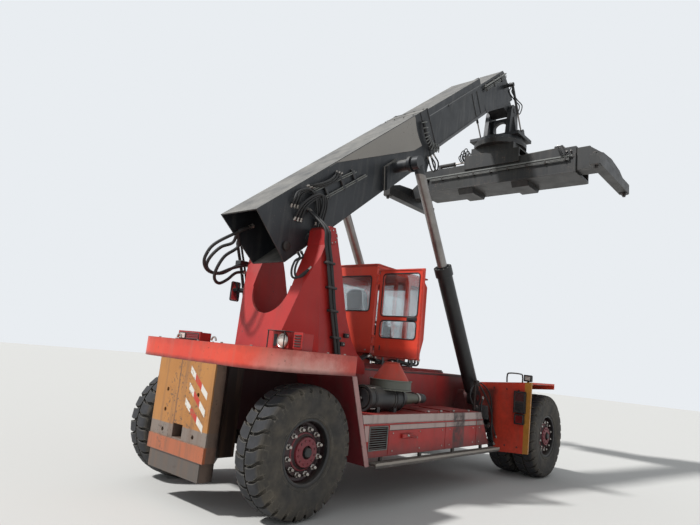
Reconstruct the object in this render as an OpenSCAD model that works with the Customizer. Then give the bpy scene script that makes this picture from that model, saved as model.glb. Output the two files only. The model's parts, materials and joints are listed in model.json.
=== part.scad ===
// Reach stacker: a container handler with a telescopic boom and a rotating spreader.
// X runs forward, Y to the left, Z up, with the ground at zero. Lengths are millimetres.
// Places along X are measured from the rear axle and shifted to the machine's middle at the end.

/* [Wheels and axles] */
// Distance between the rear and the front axle
wheelbase = 6800; // [6400:50:7400]
// Tyre radius to the lug tips
tyre_r = 860; // [820:5:880]
// Tyre width
tyre_w = 500; // [440:5:520]
// Radius of the rim where the bead sits
rim_r = 415; // [380:5:430]
// Middle of a rear wheel, from the centre line
rear_wheel_y = 1300; // [1280:5:1340]
// Kingpin, inboard of the middle of its wheel
kingpin_in = 180; // [170:5:190]
// Middle of a front pair of wheels, from the centre line
front_pair_y = 1557; // [1550:1:1600]
// Distance between the two tyres of a front pair
twin_spacing = 560; // [530:5:600]
// Radius of the kingpin
kingpin_r = 45; // [35:1:55]
// Radius of a wheel's spindle
spindle_r = 70; // [55:1:80]
// Lugs in each of a tyre's two rows
lug_count = 14; // [10:2:16]
// Depth of the tread
lug_deep = 45; // [30:1:60]

/* [Frame] */
// Half width of the frame between the steered wheels
tail_half_w = 400; // [340:5:400]
// Half width of the frame between the axles
frame_half_w = 700; // [660:5:720]
// Top of the frame
frame_top = 1980; // [1940:5:2000]
// Underside of the frame between the axles
frame_bottom = 640; // [560:5:700]
// Thickness of the frame's plates
frame_plate = 40; // [25:1:60]
// Front end of the frame
frame_front = 7250; // [7150:10:7350]
// Top of the rear deck
deck_top = 2150; // [2100:5:2200]
// Underside of the deck's skirt
deck_skirt = 1870; // [1850:5:1900]
// Half width of the rear deck
deck_half_w = 1650; // [1600:5:1680]
// Rear end of the rear deck
deck_rear = -980; // [-1000:5:-940]
// Rear face of the counterweight
weight_rear = -1000; // [-1040:5:-960]
// Half width of the counterweight
weight_half_w = 670; // [620:5:680]
// Top of the boxes beside the frame
box_top = 1330; // [1290:5:1360]
// Outer face of the boxes beside the frame
box_outer = 1600; // [1500:5:1650]

/* [Tower and boom] */
// Boom pivot, forward of the rear axle
pivot_x = 700; // [650:5:750]
// Boom pivot, above the ground
pivot_z = 3950; // [3900:5:4000]
// Angle of the boom above the horizontal, as it stands
boom_angle = 39; // [36:0.5:40]
// Inner face of a tower leg
leg_inner = 465; // [460:1:480]
// Outer face of a tower leg
leg_outer = 870; // [840:5:900]
// Half width of the outer boom at its top
boom_half_top = 438; // [430:1:440]
// Half width of the outer boom at its underside
boom_half_bottom = 383; // [380:1:390]
// Top of the outer boom, above the pivot's line
boom_top = 885; // [880:5:920]
// Underside of the outer boom, below the pivot's line
boom_under = 75; // [70:1:90]
// Front end of the outer boom, from the pivot
boom_front = 3990; // [3900:10:4050]
// Front end of the outer boom's collar, from the pivot
collar_front = 4560; // [4400:10:4650]
// Rear end of the outer boom, behind the pivot
boom_tail = 810; // [780:5:840]
// Plate of the outer boom
boom_plate = 20; // [12:1:20]
// Top of the inner boom, above the pivot's line
inner_top = 848; // [840:1:850]
// Underside of the inner boom, below the pivot's line
inner_under = 30; // [20:1:40]
// Half width of the inner boom at its top
inner_half_top = 398; // [390:1:400]
// Half width of the inner boom at its underside
inner_half_bottom = 340; // [330:1:345]
// Front end of the inner boom's box
inner_front = 7400; // [7300:10:7450]
// Plate of the inner boom
inner_plate = 16; // [10:1:20]
// Head pin, along the boom from the pivot
head_s = 9050; // [9000:10:9100]
// Head pin, below the pivot's line
head_drop = 450; // [430:5:470]
// Radius of the head pin
head_pin_r = 70; // [60:1:80]

/* [Lift cylinders] */
// Foot pin, forward of the rear axle
foot_x = 5350; // [5320:5:5380]
// Foot pin, above the ground
foot_z = 1550; // [1530:5:1570]
// Middle of a cylinder, from the centre line
cylinder_y = 1030; // [1020:1:1040]
// Rod eye, along the boom from the pivot
eye_s = 2672; // [2660:1:2690]
// Rod eye, above the pivot's line
eye_n = 221; // [210:1:230]
// Barrel, from the foot pin to the end of its collar
barrel_l = 2950; // [2900:5:2980]
// Outer radius of the barrel
barrel_r = 150; // [140:1:155]
// Radius of the rod
rod_r = 95; // [80:1:98]

/* [Cab] */
// Rear face of the cab
cab_rear = 2120; // [2080:5:2160]
// Length of the cab
cab_l = 1640; // [1600:5:1720]
// Half width of the cab
cab_half_w = 715; // [680:5:725]
// Underside of the cab
cab_bottom = 2230; // [2210:5:2260]
// Top of the cab's roof
cab_top = 3810; // [3760:5:3840]
// Thickness of the cab's walls
cab_wall = 45; // [30:1:60]
// Width of the door
door_w = 940; // [880:5:960]
// Thickness of the door
door_t = 40; // [30:1:45]
// Angle at which the door stands open
door_open = 90; // [80:1:100]

/* [Spreader] */
// Underside of the spreader's corners, above the ground
spreader_z = 6890; // [6850:5:6900]
// Twistlock, from the middle along the container
lock_y = 2926.5; // [2926.5:0.5:2927]
// Twistlock, from the middle across the container
lock_x = 1129.5; // [1129.5:0.5:1130]
// Half length of the spreader's main frame
main_half_l = 2250; // [2200:5:2280]
// Half width of the spreader's main frame
main_half_w = 470; // [460:5:480]
// Top of the main frame, above the corners' underside
main_top = 850; // [830:5:860]

/* [Hidden] */
$fn = 64;

seat = 0.3;      // gap between a piece and what carries it, on different bodies
running = 0.5;   // radial clearance of a shaft in its bore
axle_z = tyre_r; // height of both axles
kingpin_y = rear_wheel_y - kingpin_in;

red = "firebrick";
orange = "orangered";
charcoal = [0.18, 0.19, 0.21];
steel = "silver";
black = [0.1, 0.1, 0.11];
ochre = [0.72, 0.47, 0.25];

// Head pin, spreader's middle and the machine's ends
boom_cos = cos(boom_angle);
boom_sin = sin(boom_angle);
head_x = pivot_x + head_s * boom_cos + head_drop * boom_sin;
head_z = pivot_z + head_s * boom_sin - head_drop * boom_cos;
end_half_x = lock_x + 90;
machine_rear = weight_rear;
machine_front = head_x + end_half_x;
middle_x = (machine_rear + machine_front) / 2;

// Everything is drawn from the rear axle and moved so that the origin is below the middle
module place() {
    translate([-middle_x, 0, 0]) children();
}

// side is 1 on the left and -1 on the right
module at_side(side) {
    if (side > 0) children();
    else mirror([0, 1, 0]) children();
}

// A plate in the XZ plane, between two places along Y
module side_plate(y0, y1, points) {
    translate([0, max(y0, y1), 0]) rotate([90, 0, 0]) linear_extrude(abs(y1 - y0)) polygon(points);
}

// A box between two corners
module block(low, high) {
    translate(low) cube(high - low);
}

// A shaft along Y between two places
module shaft_y(r, y0, y1, fn = 64) {
    translate([0, max(y0, y1), 0]) rotate([90, 0, 0]) cylinder(r = r, h = abs(y1 - y0), $fn = fn);
}

// A hole with rounded corners through a wall that is square to Y, or the pane that fills it
module window_y(x, z, y0, y1, round = 70) {
    block([x[0] + round, y0, z[0]], [x[1] - round, y1, z[1]]);
    block([x[0], y0, z[0] + round], [x[1], y1, z[1] - round]);
    for (i = [0, 1], k = [0, 1])
        translate([x[i] + (1 - 2 * i) * round, 0, z[k] + (1 - 2 * k) * round]) shaft_y(round, y0, y1, 24);
}

// The same through a wall that is square to X
module window_x(y, z, x0, x1, round = 70) {
    block([x0, y[0] + round, z[0]], [x1, y[1] - round, z[1]]);
    block([x0, y[0], z[0] + round], [x1, y[1], z[1] - round]);
    for (i = [0, 1], k = [0, 1])
        translate([x0, y[i] + (1 - 2 * i) * round, z[k] + (1 - 2 * k) * round])
            rotate([0, 90, 0]) cylinder(r = round, h = x1 - x0, $fn = 24);
}

// The boom's own frame: X along the boom and Z square to it, from the pivot
module on_boom() {
    translate([pivot_x, 0, pivot_z]) rotate([0, -boom_angle, 0]) children();
}

// Frame: a box girder, narrow between the steered wheels, open below between the axles
tail_front = 1050;
wide_front = 5500;
bulkhead_x = 2900;
tail_under = axle_z + 130;
front_under = 1110;
nose_top = 1560;
drop_x = 5440;      // where the frame's top starts to fall
drop_end = [6120, 1855];
foot_lug_in = cylinder_y - 85;
foot_pin_r = 60;
foot_boss_r = 130;
module frame_side(y0, y1) {
    side_plate(y0, y1, [[tail_front, frame_bottom], [wide_front, frame_bottom],
        [wide_front + 250, front_under], [frame_front, front_under], [frame_front, nose_top], drop_end,
        [drop_x, frame_top], [tail_front, frame_top]]);
}
module main_frame() {
    inner_w = frame_half_w - frame_plate;
    color(red) {
        difference() {
            frame_side(-frame_half_w, frame_half_w);
            for (bay = [[tail_front, bulkhead_x], [bulkhead_x, wide_front - frame_plate]])
                block([bay[0] + frame_plate, -inner_w, frame_bottom - 1],
                    [bay[1], inner_w, frame_top - frame_plate]);
            side_plate(-inner_w, inner_w, [[wide_front, front_under + frame_plate],
                [frame_front - frame_plate, front_under + frame_plate],
                [frame_front - frame_plate, nose_top - 15], drop_end - [10, frame_plate],
                [wide_front, frame_top - frame_plate - 12]]);
        }
        // lugs and pins of the lift cylinders
        for (side = [-1, 1]) at_side(side) translate([foot_x, 0, foot_z]) {
            shaft_y(foot_boss_r, frame_half_w - 5, foot_lug_in);
            side_plate(frame_half_w, foot_lug_in, [[-260, -320], [260, -320], [120, 60], [-120, 60]]);
            shaft_y(foot_pin_r, frame_half_w, cylinder_y + 95);
        }
        // strip along the frame's top edge
        for (side = [-1, 1]) at_side(side)
            block([leg_foot_front, frame_half_w - 5, frame_top - 45],
                [drop_x, frame_half_w + 8, frame_top - 12]);
    }
}

// Tail of the frame: a closed box between the steered wheels, from the counterweight to the wide frame
tail_rear = -300;
module frame_tail() {
    color(red) difference() {
        block([tail_rear, -tail_half_w, tail_under], [tail_front, tail_half_w, deck_skirt]);
        block([tail_rear + frame_plate, -tail_half_w + frame_plate, tail_under + frame_plate],
            [tail_front - frame_plate, tail_half_w - frame_plate, deck_skirt - frame_plate]);
    }
}

// Tower: two tapered legs on a base plate, with a leaning plate between them and its rounded notch
leg_rear = 100;
leg_foot_front = 1830;
notch_z = 3120;
notch_x = 354;
notch_r = leg_inner - 25;
leg_profile = [[leg_rear, frame_top], [notch_x, notch_z], [434, 3380], [588, 3800], [610, 4060], [650, 4110],
    [780, 4110], [826, 4008], [1022, 3463], [1237, 2740], [1424, 2383], [1590, 2193], [1766, 2075],
    [leg_foot_front, frame_top]];
leg_lean = atan2(140, 1310); // of the outer rear edge, from plumb
leg_chamfer = [529, 405];    // of the rear face in plan, from the outer edge to the inner one
outer_edge = [670, 2220];
pivot_r = 95;
module tower() {
    color(red) {
        for (side = [-1, 1]) at_side(side) difference() {
            side_plate(leg_inner, leg_outer, leg_profile);
            translate([pivot_x, 0, pivot_z]) shaft_y(pivot_r + running, leg_inner - 1, leg_outer + 1);
            translate([outer_edge[0], leg_outer, outer_edge[1]]) rotate([0, -leg_lean, 0])
                translate([0, 0, -300]) linear_extrude(2600)
                    polygon([0.1 * leg_chamfer, -1.3 * leg_chamfer,
                        [-1.3 * leg_chamfer[0], 0.1 * leg_chamfer[1]]]);
        }
        difference() {
            side_plate(-leg_inner, leg_inner, [[leg_rear, frame_top - 10],
                [leg_rear + frame_plate, frame_top - 10], [notch_x + frame_plate, notch_z],
                [notch_x, notch_z]]);
            translate([leg_rear, 0, notch_z]) rotate([0, 90, 0]) cylinder(r = notch_r, h = leg_foot_front);
        }
        block([leg_rear, -leg_outer, deck_skirt], [tail_front, leg_outer, frame_top]);
        for (side = [-1, 1]) at_side(side)
            block([tail_front - 1, frame_half_w, deck_skirt], [leg_foot_front, leg_outer, frame_top]);
    }
}

// Rear deck: a plate with a deep skirt, rounded at its rear corners
tow_hole_r = 45;
deck_front = 670;
deck_plate = 40;
deck_corner = 690; // radius in plan
module deck_outline(inset) {
    half = deck_half_w - inset;
    rear = deck_rear + inset;
    round = deck_corner - inset;
    difference() {
        translate([rear, -half]) square([deck_front + 2 * inset - rear, 2 * half]);
        for (side = [-1, 1]) difference() {
            translate([rear - 1, side > 0 ? half - round : -half - 1]) square([round + 1, round + 1]);
            translate([rear + round, side * (half - round)]) circle(r = round);
        }
    }
}
module rear_deck() {
    color(orange) difference() {
        translate([0, 0, deck_skirt]) linear_extrude(deck_top - deck_skirt) deck_outline(0);
        translate([0, 0, deck_skirt - 1]) linear_extrude(deck_top - deck_plate - deck_skirt + 1)
            deck_outline(deck_plate);
        // the tower's legs stand through it
        translate([0, 0, deck_skirt]) linear_extrude(deck_top)
            polygon([[leg_rear - 30, -leg_inner], [leg_rear - 30, leg_inner], [leg_rear + 20, leg_inner + 10],
                [outer_edge[0] - 20, leg_outer + 10], [deck_front + 1, leg_outer + 10],
                [deck_front + 1, -leg_outer - 10], [outer_edge[0] - 20, -leg_outer - 10],
                [leg_rear + 20, -leg_inner - 10]]);
        translate([tow_pin_x, 0, deck_skirt]) cylinder(r = tow_hole_r, h = deck_top);
    }
}

// Boxes on the deck: two lamps with raised rims and a low box, each on the plate
deck_box_x = -380;
deck_box_l = 190;
module deck_box(y, height) {
    block([deck_box_x, y[0], deck_top], [deck_box_x + deck_box_l, y[1], deck_top + height]);
    block([deck_box_x - 15, y[0] - 8, deck_top + 20], [deck_box_x + 15, y[1] + 8, deck_top + height + 10]);
}
module deck_lamps() {
    color("gray") {
        deck_box([-1340, -1030], 215);
        deck_box([-1590, -1440], 220);
        deck_box([660, 1250], 130);
    }
}

// Counterweight: a shaped casting with a raised band, bolt recesses and the tow pocket in its rear face
weight_bottom = 620;
band_top = 820;
band_proud = 15;
foot_bottom = 380;
foot_half_w = 600;
recess_y = 365;
recess_r = 28;
recess_deep = 60;
recess_zs = [902, 1171, 1444];
tow_z = 930;
tow_pin_r = 30;
tow_pin_x = weight_rear + 150;
tow_pocket_half = 90;
tow_pocket_half_w = 110;
tow_pocket_deep = 260;
tow_blind = 110;
module weight_outline(rear) {
    polygon([[rear, -weight_half_w], [-810, -weight_half_w], [-560, -tail_half_w], [tail_rear, -tail_half_w],
        [tail_rear, tail_half_w], [-560, tail_half_w], [-810, weight_half_w], [rear, weight_half_w]]);
}
module counterweight() {
    color(ochre) difference() {
        union() {
            translate([0, 0, weight_bottom]) linear_extrude(deck_skirt - weight_bottom)
                weight_outline(weight_rear + band_proud);
            translate([0, 0, weight_bottom]) linear_extrude(band_top - weight_bottom)
                weight_outline(weight_rear);
            block([weight_rear + band_proud, -foot_half_w, foot_bottom], [-760, foot_half_w, weight_bottom]);
        }
        block([weight_rear - 1, -tow_pocket_half_w, tow_z - tow_pocket_half],
            [weight_rear + tow_pocket_deep, tow_pocket_half_w, tow_z + tow_pocket_half]);
        // the tow pin drops through from the deck
        translate([tow_pin_x, 0, tow_z - tow_pocket_half - tow_blind]) cylinder(r = tow_pin_r, h = deck_skirt);
        for (z = recess_zs, y = [-recess_y, recess_y])
            translate([weight_rear - 1, y, z]) rotate([0, 90, 0])
                cylinder(r = recess_r, h = recess_deep + 1, $fn = 24);
    }
}

// Guards: the raked panel ahead of each rear wheel, with a flange along its outer edge
panel_head = [700, 760]; // rear and front face under the deck
panel_foot = [1165, 1225];
panel_foot_z = 600;
panel_flange = [40, 12]; // width and thickness
function panel_z(x, face) = deck_skirt
    - (x - panel_head[face]) * (deck_skirt - panel_foot_z) / (panel_foot[face] - panel_head[face]);
module wheel_guards() {
    color(red) for (side = [-1, 1]) at_side(side) {
        side_plate(frame_half_w, box_outer, [[panel_head[0], deck_skirt], [panel_head[1], deck_skirt],
            [panel_foot[1], panel_foot_z], [panel_foot[0], panel_foot_z]]);
        side_plate(tail_half_w, frame_half_w + 1, [[panel_head[0] + 2, deck_skirt],
            [panel_head[1] - 2, deck_skirt], [tail_front, panel_z(tail_front + 2, 1)],
            [tail_front, panel_z(tail_front - 2, 0)]]);
        side_plate(box_outer - panel_flange[1], box_outer, [[panel_head[0] - panel_flange[0], deck_skirt],
            [panel_head[0] + 2, deck_skirt], [panel_foot[0] + 2, panel_foot_z],
            [panel_foot[0] - panel_flange[0], panel_foot_z]]);
    }
}

// Boxes beside the frame, tank on one side and cooler on the other
box_rear = 970;
box_bottom = 720;
box_front = 4600;
box_slope = [216, 370]; // by how much the rear and the front lean out towards the underside
box_plate = 12;
grille_x = [1170, 1600];
grille_z = [830, 1150];
slat_pitch = 32;
module side_box(y_in, inset) {
    side_plate(y_in + inset, box_outer - inset, [[box_rear + 1.4 * inset, box_top - inset],
        [box_rear + box_slope[0] + 1.4 * inset, box_bottom + inset],
        [box_front + box_slope[1] - 2 * inset, box_bottom + inset],
        [box_front - 1.5 * inset, box_top - inset]]);
}
module side_box_right() {
    color(red) at_side(-1) difference() {
        side_box(frame_half_w, 0);
        side_box(frame_half_w, box_plate);
        block([grille_x[0], box_outer - 30, grille_z[0]], [grille_x[1], box_outer + 1, grille_z[1]]);
    }
    color(red) at_side(-1) for (z = [grille_z[0] + 8 : slat_pitch : grille_z[1] - 16])
        block([grille_x[0] - 2, box_outer - 22, z], [grille_x[1] + 2, box_outer - 4, z + 12]);
    color(red) at_side(-1) shoulder();
}
module side_box_left() {
    color(red) at_side(1) difference() {
        side_box(frame_half_w, 0);
        side_box(frame_half_w, box_plate);
    }
    color(red) at_side(1) shoulder();
}
// The rib along a box's outer face, below its upper band
module shoulder() {
    block([box_rear + 90, box_outer - 2, box_top - 150], [box_front + 60, box_outer + 14, box_top - 128]);
}

// Running boards, a folded step along each side on its brackets
board_x = [1235, 5250];
board_z = 620;
board_t = 30;
board_out = 110;
module running_boards() {
    color("gray") for (side = [-1, 1]) at_side(side) {
        block([board_x[0], box_outer - 60, board_z], [board_x[1], box_outer + board_out, board_z + board_t]);
        block([board_x[0], box_outer + board_out - 12, board_z - 30],
            [board_x[1], box_outer + board_out, board_z + board_t + 12]);
        for (x = [1500 : 1060 : 4700])
            block([x, box_outer - 60, board_z + board_t - 5], [x + 60, box_outer - 20, box_bottom]);
    }
}

// Engine, one plain block on its side mounts
engine_x = [1400, 2700];
engine_half_w = 430;
engine_z = [780, 1560];
engine_mount = [120, 100]; // length and height
module engine_block() {
    color("dimgray") {
        block([engine_x[0], -engine_half_w, engine_z[0]], [engine_x[1], engine_half_w, engine_z[1]]);
        for (x = [engine_x[0] + 200, engine_x[1] - 300])
            block([x, -frame_half_w + frame_plate, 1000],
                [x + engine_mount[0], frame_half_w - frame_plate, 1000 + engine_mount[1]]);
    }
}

// Air cleaner: a drum lying along the machine on its saddles, with its intake on top and a cone ahead
drum_x = [1350, 2230];
drum_r = 190;
drum_y = 1250;
hoop_proud = 8;
drum_z = box_top + drum_r + hoop_proud + 4;
intake_x = 2055;
pan_r = 340;
pan_z = [1680, 1830];
hood_z = 2100;
module air_cleaner() {
    drum_l = drum_x[1] - drum_x[0];
    color(black) at_side(-1) {
        translate([drum_x[0], drum_y, drum_z]) rotate([0, 90, 0]) {
            difference() {
                cylinder(r = drum_r, h = drum_l);
                translate([0, 0, -1]) cylinder(r = drum_r - 30, h = 31);
            }
            translate([0, 0, 15]) cylinder(r = 60, h = 40);
            translate([0, 0, drum_l - 1]) cylinder(r1 = 130, r2 = 70, h = 640);
            for (hoop = [120, 620]) translate([0, 0, hoop]) cylinder(r = drum_r + hoop_proud, h = 40);
        }
        for (x = [1560, 2000]) block([x, drum_y - 150, box_top], [x + 70, drum_y + 150, drum_z - 110]);
        translate([intake_x, drum_y, 0]) {
            translate([0, 0, drum_z + 60]) cylinder(r = 115, h = pan_z[0] - drum_z);
            translate([0, 0, pan_z[0]]) cylinder(r = pan_r, h = pan_z[1] - pan_z[0]);
            translate([0, 0, pan_z[1] - 1]) cylinder(r1 = 300, r2 = 125, h = hood_z - pan_z[1]);
        }
    }
}

// Rails that the cab slides on, flat on the frame's top with a lip along each
rail_y = 400;
rail_half_w = 60;
rail_x = [1950, 5000];
rail_top = frame_top + 60;
module cab_rails() {
    color(red) for (side = [-1, 1]) at_side(side) {
        block([rail_x[0], rail_y - rail_half_w, frame_top], [rail_x[1], rail_y + rail_half_w, frame_top + 35]);
        block([rail_x[0], rail_y - 30, frame_top + 34], [rail_x[1], rail_y + 30, rail_top]);
    }
}

// Steering axle: a box beam with forked ends around the knuckles
beam_half = 110;
fork_gap = 155;  // half of the room between the fork's arms
fork_arm = 50;
fork_r = 85;
module steer_axle() {
    fork_half = fork_gap + fork_arm;
    color("dimgray") {
        block([-beam_half, -960, axle_z - beam_half], [beam_half, 960, axle_z + beam_half]);
        block([-200, -tail_half_w + 40, axle_z + beam_half], [200, tail_half_w - 40, tail_under]);
        for (side = [-1, 1]) at_side(side) translate([0, kingpin_y, axle_z]) {
            for (low = [-fork_half, fork_gap]) translate([0, 0, low]) hull() {
                cylinder(r = fork_r, h = fork_arm);
                translate([-80, -220, 0]) cube([160, 80, fork_arm]);
            }
            block([-80, -220, -fork_half], [80, -105, fork_half]);
            translate([0, 0, -fork_half]) cylinder(r = kingpin_r, h = 2 * fork_half);
        }
    }
}

// Knuckle: the housing on its kingpin and the spindle of the wheel
module knuckle(side) {
    color("gray") at_side(side) translate([0, kingpin_y, axle_z]) difference() {
        union() {
            translate([0, 0, -fork_gap + seat]) cylinder(r = fork_r - 3, h = 2 * (fork_gap - seat));
            shaft_y(spindle_r, 0, kingpin_in + spindle_l);
        }
        translate([0, 0, -fork_gap - 15]) cylinder(r = kingpin_r + running, h = 2 * fork_gap + 30);
    }
}

// Front axle housing with its spindles
spindle_l = 60;   // past the middle of its wheel or pair
housing_r = 150;
drive_r = 230;
module drive_axle() {
    color("dimgray") translate([wheelbase, 0, axle_z]) {
        shaft_y(housing_r, -960, 960);
        shaft_y(drive_r, -drive_r, drive_r);
        for (side = [-1, 1]) at_side(side) {
            block([-220, 420, 100], [220, 620, front_under - axle_z]);
            shaft_y(spindle_r, 950, front_pair_y + spindle_l);
        }
    }
}

// A tyre about its own middle, with its axle along Y: a carcass and two staggered rows of lugs
carcass_r = tyre_r - lug_deep - 15;
carcass_sides = 16;
bead_sides = 24;   // of the seat that the tyre and its rim share
tread_half = tyre_w * 0.43;
lug_share = 0.6;   // of the pitch, at the tip
lug_flank = 0.05;  // of the pitch, on each side
row_overlap = 8;
lug_steps = [[tyre_r - lug_deep, -lug_flank], [tyre_r, 0], [tyre_r, lug_share],
    [tyre_r - lug_deep, lug_share + lug_flank]];
module ring_band(r, half, sides = carcass_sides) {
    linear_extrude(2 * half, center = true)
        polygon([for (i = [0 : sides - 1])
            let (turn = 360 * i / sides) r * [sin(turn), cos(turn)]]);
}
// phase is the share of a pitch by which the row is turned
module lug_row(phase) {
    linear_extrude(tread_half + row_overlap)
        polygon([for (i = [0 : lug_count - 1], step = lug_steps)
            let (turn = (i + step[1] + phase) * 360 / lug_count) step[0] * [sin(turn), cos(turn)]]);
}
module tyre() {
    rotate([-90, 0, 0]) difference() {
        union() {
            hull() {
                ring_band(carcass_r, tread_half + 5);
                ring_band((rim_r + tyre_r) / 2, tyre_w / 2);
                ring_band(rim_r + 70, tyre_w * 0.44);
            }
            translate([0, 0, -row_overlap]) lug_row(0);
            rotate([180, 0, 0]) translate([0, 0, -row_overlap]) lug_row(0.5);
        }
        ring_band(rim_r, tyre_w, bead_sides);
    }
}

// A rim about its own middle: the barrel and the disc, whose place along Y is given
rim_t = 22;
rim_half = tyre_w * 0.4;
bore_l = spindle_l + 5;
hub_r = 150;
module rim(disc_in, disc_out) {
    rotate([-90, 0, 0]) difference() {
        ring_band(rim_r, rim_half, bead_sides);
        cylinder(r = rim_r - rim_t, h = 2 * rim_half + 2, center = true);
    }
    difference() {
        shaft_y(rim_r - 10, disc_in, disc_out);
        shaft_y(spindle_r + 30, disc_in - 1, disc_out + 1);
    }
}

module rear_tyre(side) {
    color(black) at_side(side) translate([0, rear_wheel_y, axle_z]) tyre();
}
module rear_rim(side) {
    color("maroon") at_side(side) translate([0, rear_wheel_y, axle_z]) {
        rim(-70, -45);
        difference() {
            shaft_y(hub_r, -72, 130);
            shaft_y(spindle_r + running, -73, bore_l);
        }
        shaft_y(hub_r - 55, 130, 165);
    }
}
module front_tyres(side) {
    color(black) at_side(side) for (place = [-1, 1])
        translate([wheelbase, front_pair_y + place * twin_spacing / 2, axle_z]) tyre();
}
module front_rims(side) {
    color("maroon") at_side(side) translate([wheelbase, front_pair_y, axle_z]) {
        for (place = [-1, 1]) translate([0, place * twin_spacing / 2, 0]) rim(-12, 12);
        difference() {
            shaft_y(hub_r + 50, -twin_spacing / 2 - 20, twin_spacing / 2 + 60);
            shaft_y(spindle_r + running, -twin_spacing / 2 - 21, bore_l);
        }
    }
}

// Mudguards behind the front wheels: a shaped plate with a top that rises outwards
guard_x = 5750;
guard_t = 50;
guard_out = 2120;
guard_front = 6950;
guard_rise = [[frame_half_w, 1850], [1005, 1874], [guard_out, 1976]];
guard_foot = [[guard_out - 30, 562], [1376, 502], [1213, 1206], [1190, 1390], [frame_half_w, 1400]];
// A strip below the guard's upper edge, between two places along X
module guard_strip(x0, x1, deep) {
    translate([x0, 0, 0]) rotate([90, 0, 90]) linear_extrude(x1 - x0)
        polygon([for (p = guard_rise) p, for (i = [2 : -1 : 0]) guard_rise[i] - [0, deep]]);
}
module front_mudguards() {
    color(orange) for (side = [-1, 1]) at_side(side) {
        translate([guard_x - guard_t, 0, 0]) rotate([90, 0, 90]) linear_extrude(guard_t)
            polygon(concat(guard_rise, guard_foot));
        guard_strip(guard_x - guard_t, guard_front, 36);
        guard_strip(guard_front - 20, guard_front + 10, 120);
    }
}

// Lamps on the guards, each a housing with its rim
lamp_y = 2020;
function guard_top(y) = guard_rise[1][1]
    + (y - guard_rise[1][0]) * (guard_rise[2][1] - guard_rise[1][1]) / (guard_rise[2][0] - guard_rise[1][0]);
module lamp(size) {
    block([-size[0], -size[1] / 2, -size[2] / 2], [0, size[1] / 2, size[2] / 2]);
    block([-size[0] - 8, -size[1] / 2 - 8, -size[2] / 2 - 8],
        [-size[0] + 12, size[1] / 2 + 8, size[2] / 2 + 8]);
}
module lamp_boxes() {
    color("gray") for (side = [-1, 1]) at_side(side) {
        translate([guard_x - guard_t, 1909, 1558]) lamp([70, 230, 420]);
        translate([guard_x - guard_t, 1909, 1220]) lamp([60, 190, 190]);
        translate([guard_x + 60, lamp_y, 2050]) lamp([70, 150, 120]);
        translate([guard_x, 0, 0]) rotate([90, 0, 90]) linear_extrude(40)
            polygon([[lamp_y - 20, guard_top(lamp_y - 20)], [lamp_y + 20, guard_top(lamp_y + 20)],
                [lamp_y + 20, 2050], [lamp_y - 20, 2050]]);
    }
}

// Cab shell: floor, roof and walls with the windows and the doorway cut, on its sliding carriage
cab_front = cab_rear + cab_l;
chin = 120;           // by how much the front leans back below the windscreen
chin_z = cab_bottom + 370;
floor_t = 60;
roof_t = 80;
sill_z = cab_top - 850;
head_z_window = cab_top - 230;
pillar = 110;
rear_pane = [[-cab_half_w + pillar, cab_half_w - pillar], [sill_z, head_z_window]];
front_pane = [[-cab_half_w + 90, cab_half_w - 90], [chin_z - 40, head_z_window]];
left_pane = [[cab_rear + 150, cab_front - 220], [sill_z - 60, head_z_window]];
right_pane = [[cab_rear + door_w + 130, cab_front - 220], [chin_z - 100, head_z_window]];
module cab_shell() {
    color(orange) difference() {
        side_plate(-cab_half_w, cab_half_w, [[cab_rear, cab_bottom], [cab_front - chin, cab_bottom],
            [cab_front, chin_z], [cab_front, cab_top - 180], [cab_front - 160, cab_top - 30],
            [cab_rear + 40, cab_top], [cab_rear, cab_top - 60]]);
        side_plate(-cab_half_w + cab_wall, cab_half_w - cab_wall, [[cab_rear + cab_wall, cab_bottom + floor_t],
            [cab_front - chin - cab_wall / 2, cab_bottom + floor_t], [cab_front - cab_wall, chin_z + 20],
            [cab_front - cab_wall, cab_top - 200], [cab_front - 180, cab_top - roof_t],
            [cab_rear + cab_wall, cab_top - roof_t]]);
        window_x(rear_pane[0], rear_pane[1], cab_rear - 1, cab_rear + cab_wall + 1);
        window_x(front_pane[0], front_pane[1], cab_front - 300, cab_front + 1);
        window_y(left_pane[0], left_pane[1], cab_half_w - cab_wall - 1, cab_half_w + 1);
        window_y(right_pane[0], right_pane[1], -cab_half_w - 1, -cab_half_w + cab_wall + 1);
        // doorway
        block([cab_rear + 60, -cab_half_w - 1, cab_bottom + floor_t + 1],
            [cab_rear + door_w + 20, -cab_half_w + cab_wall + 1, cab_top - 110]);
    }
    color(orange) hinge_lugs();
    // gutter around the roof
    color(orange) for (side = [-1, 1]) at_side(side)
        block([cab_rear + 30, cab_half_w - 1, cab_top - 85], [cab_front - 200, cab_half_w + 14, cab_top - 65]);
    // carriage, with a shoe on each rail
    color(red) {
        block([cab_rear + 60, -rail_y - rail_half_w - 40, rail_top + 70],
            [cab_front - 260, rail_y + rail_half_w + 40, cab_bottom + 1]);
        for (side = [-1, 1], x = [cab_rear + 80, cab_front - 540]) at_side(side)
            block([x, rail_y - rail_half_w, rail_top + seat], [x + 260, rail_y + rail_half_w, rail_top + 71]);
    }
}
module cab_glass() {
    color([0.6, 0.7, 0.75, 0.4]) {
        window_x(rear_pane[0], rear_pane[1], cab_rear + 20, cab_rear + 28);
        window_x(front_pane[0], front_pane[1], cab_front - 30, cab_front - 22);
        window_y(left_pane[0], left_pane[1], cab_half_w - 28, cab_half_w - 20);
        window_y(right_pane[0], right_pane[1], -cab_half_w + 20, -cab_half_w + 28);
    }
}
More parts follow.
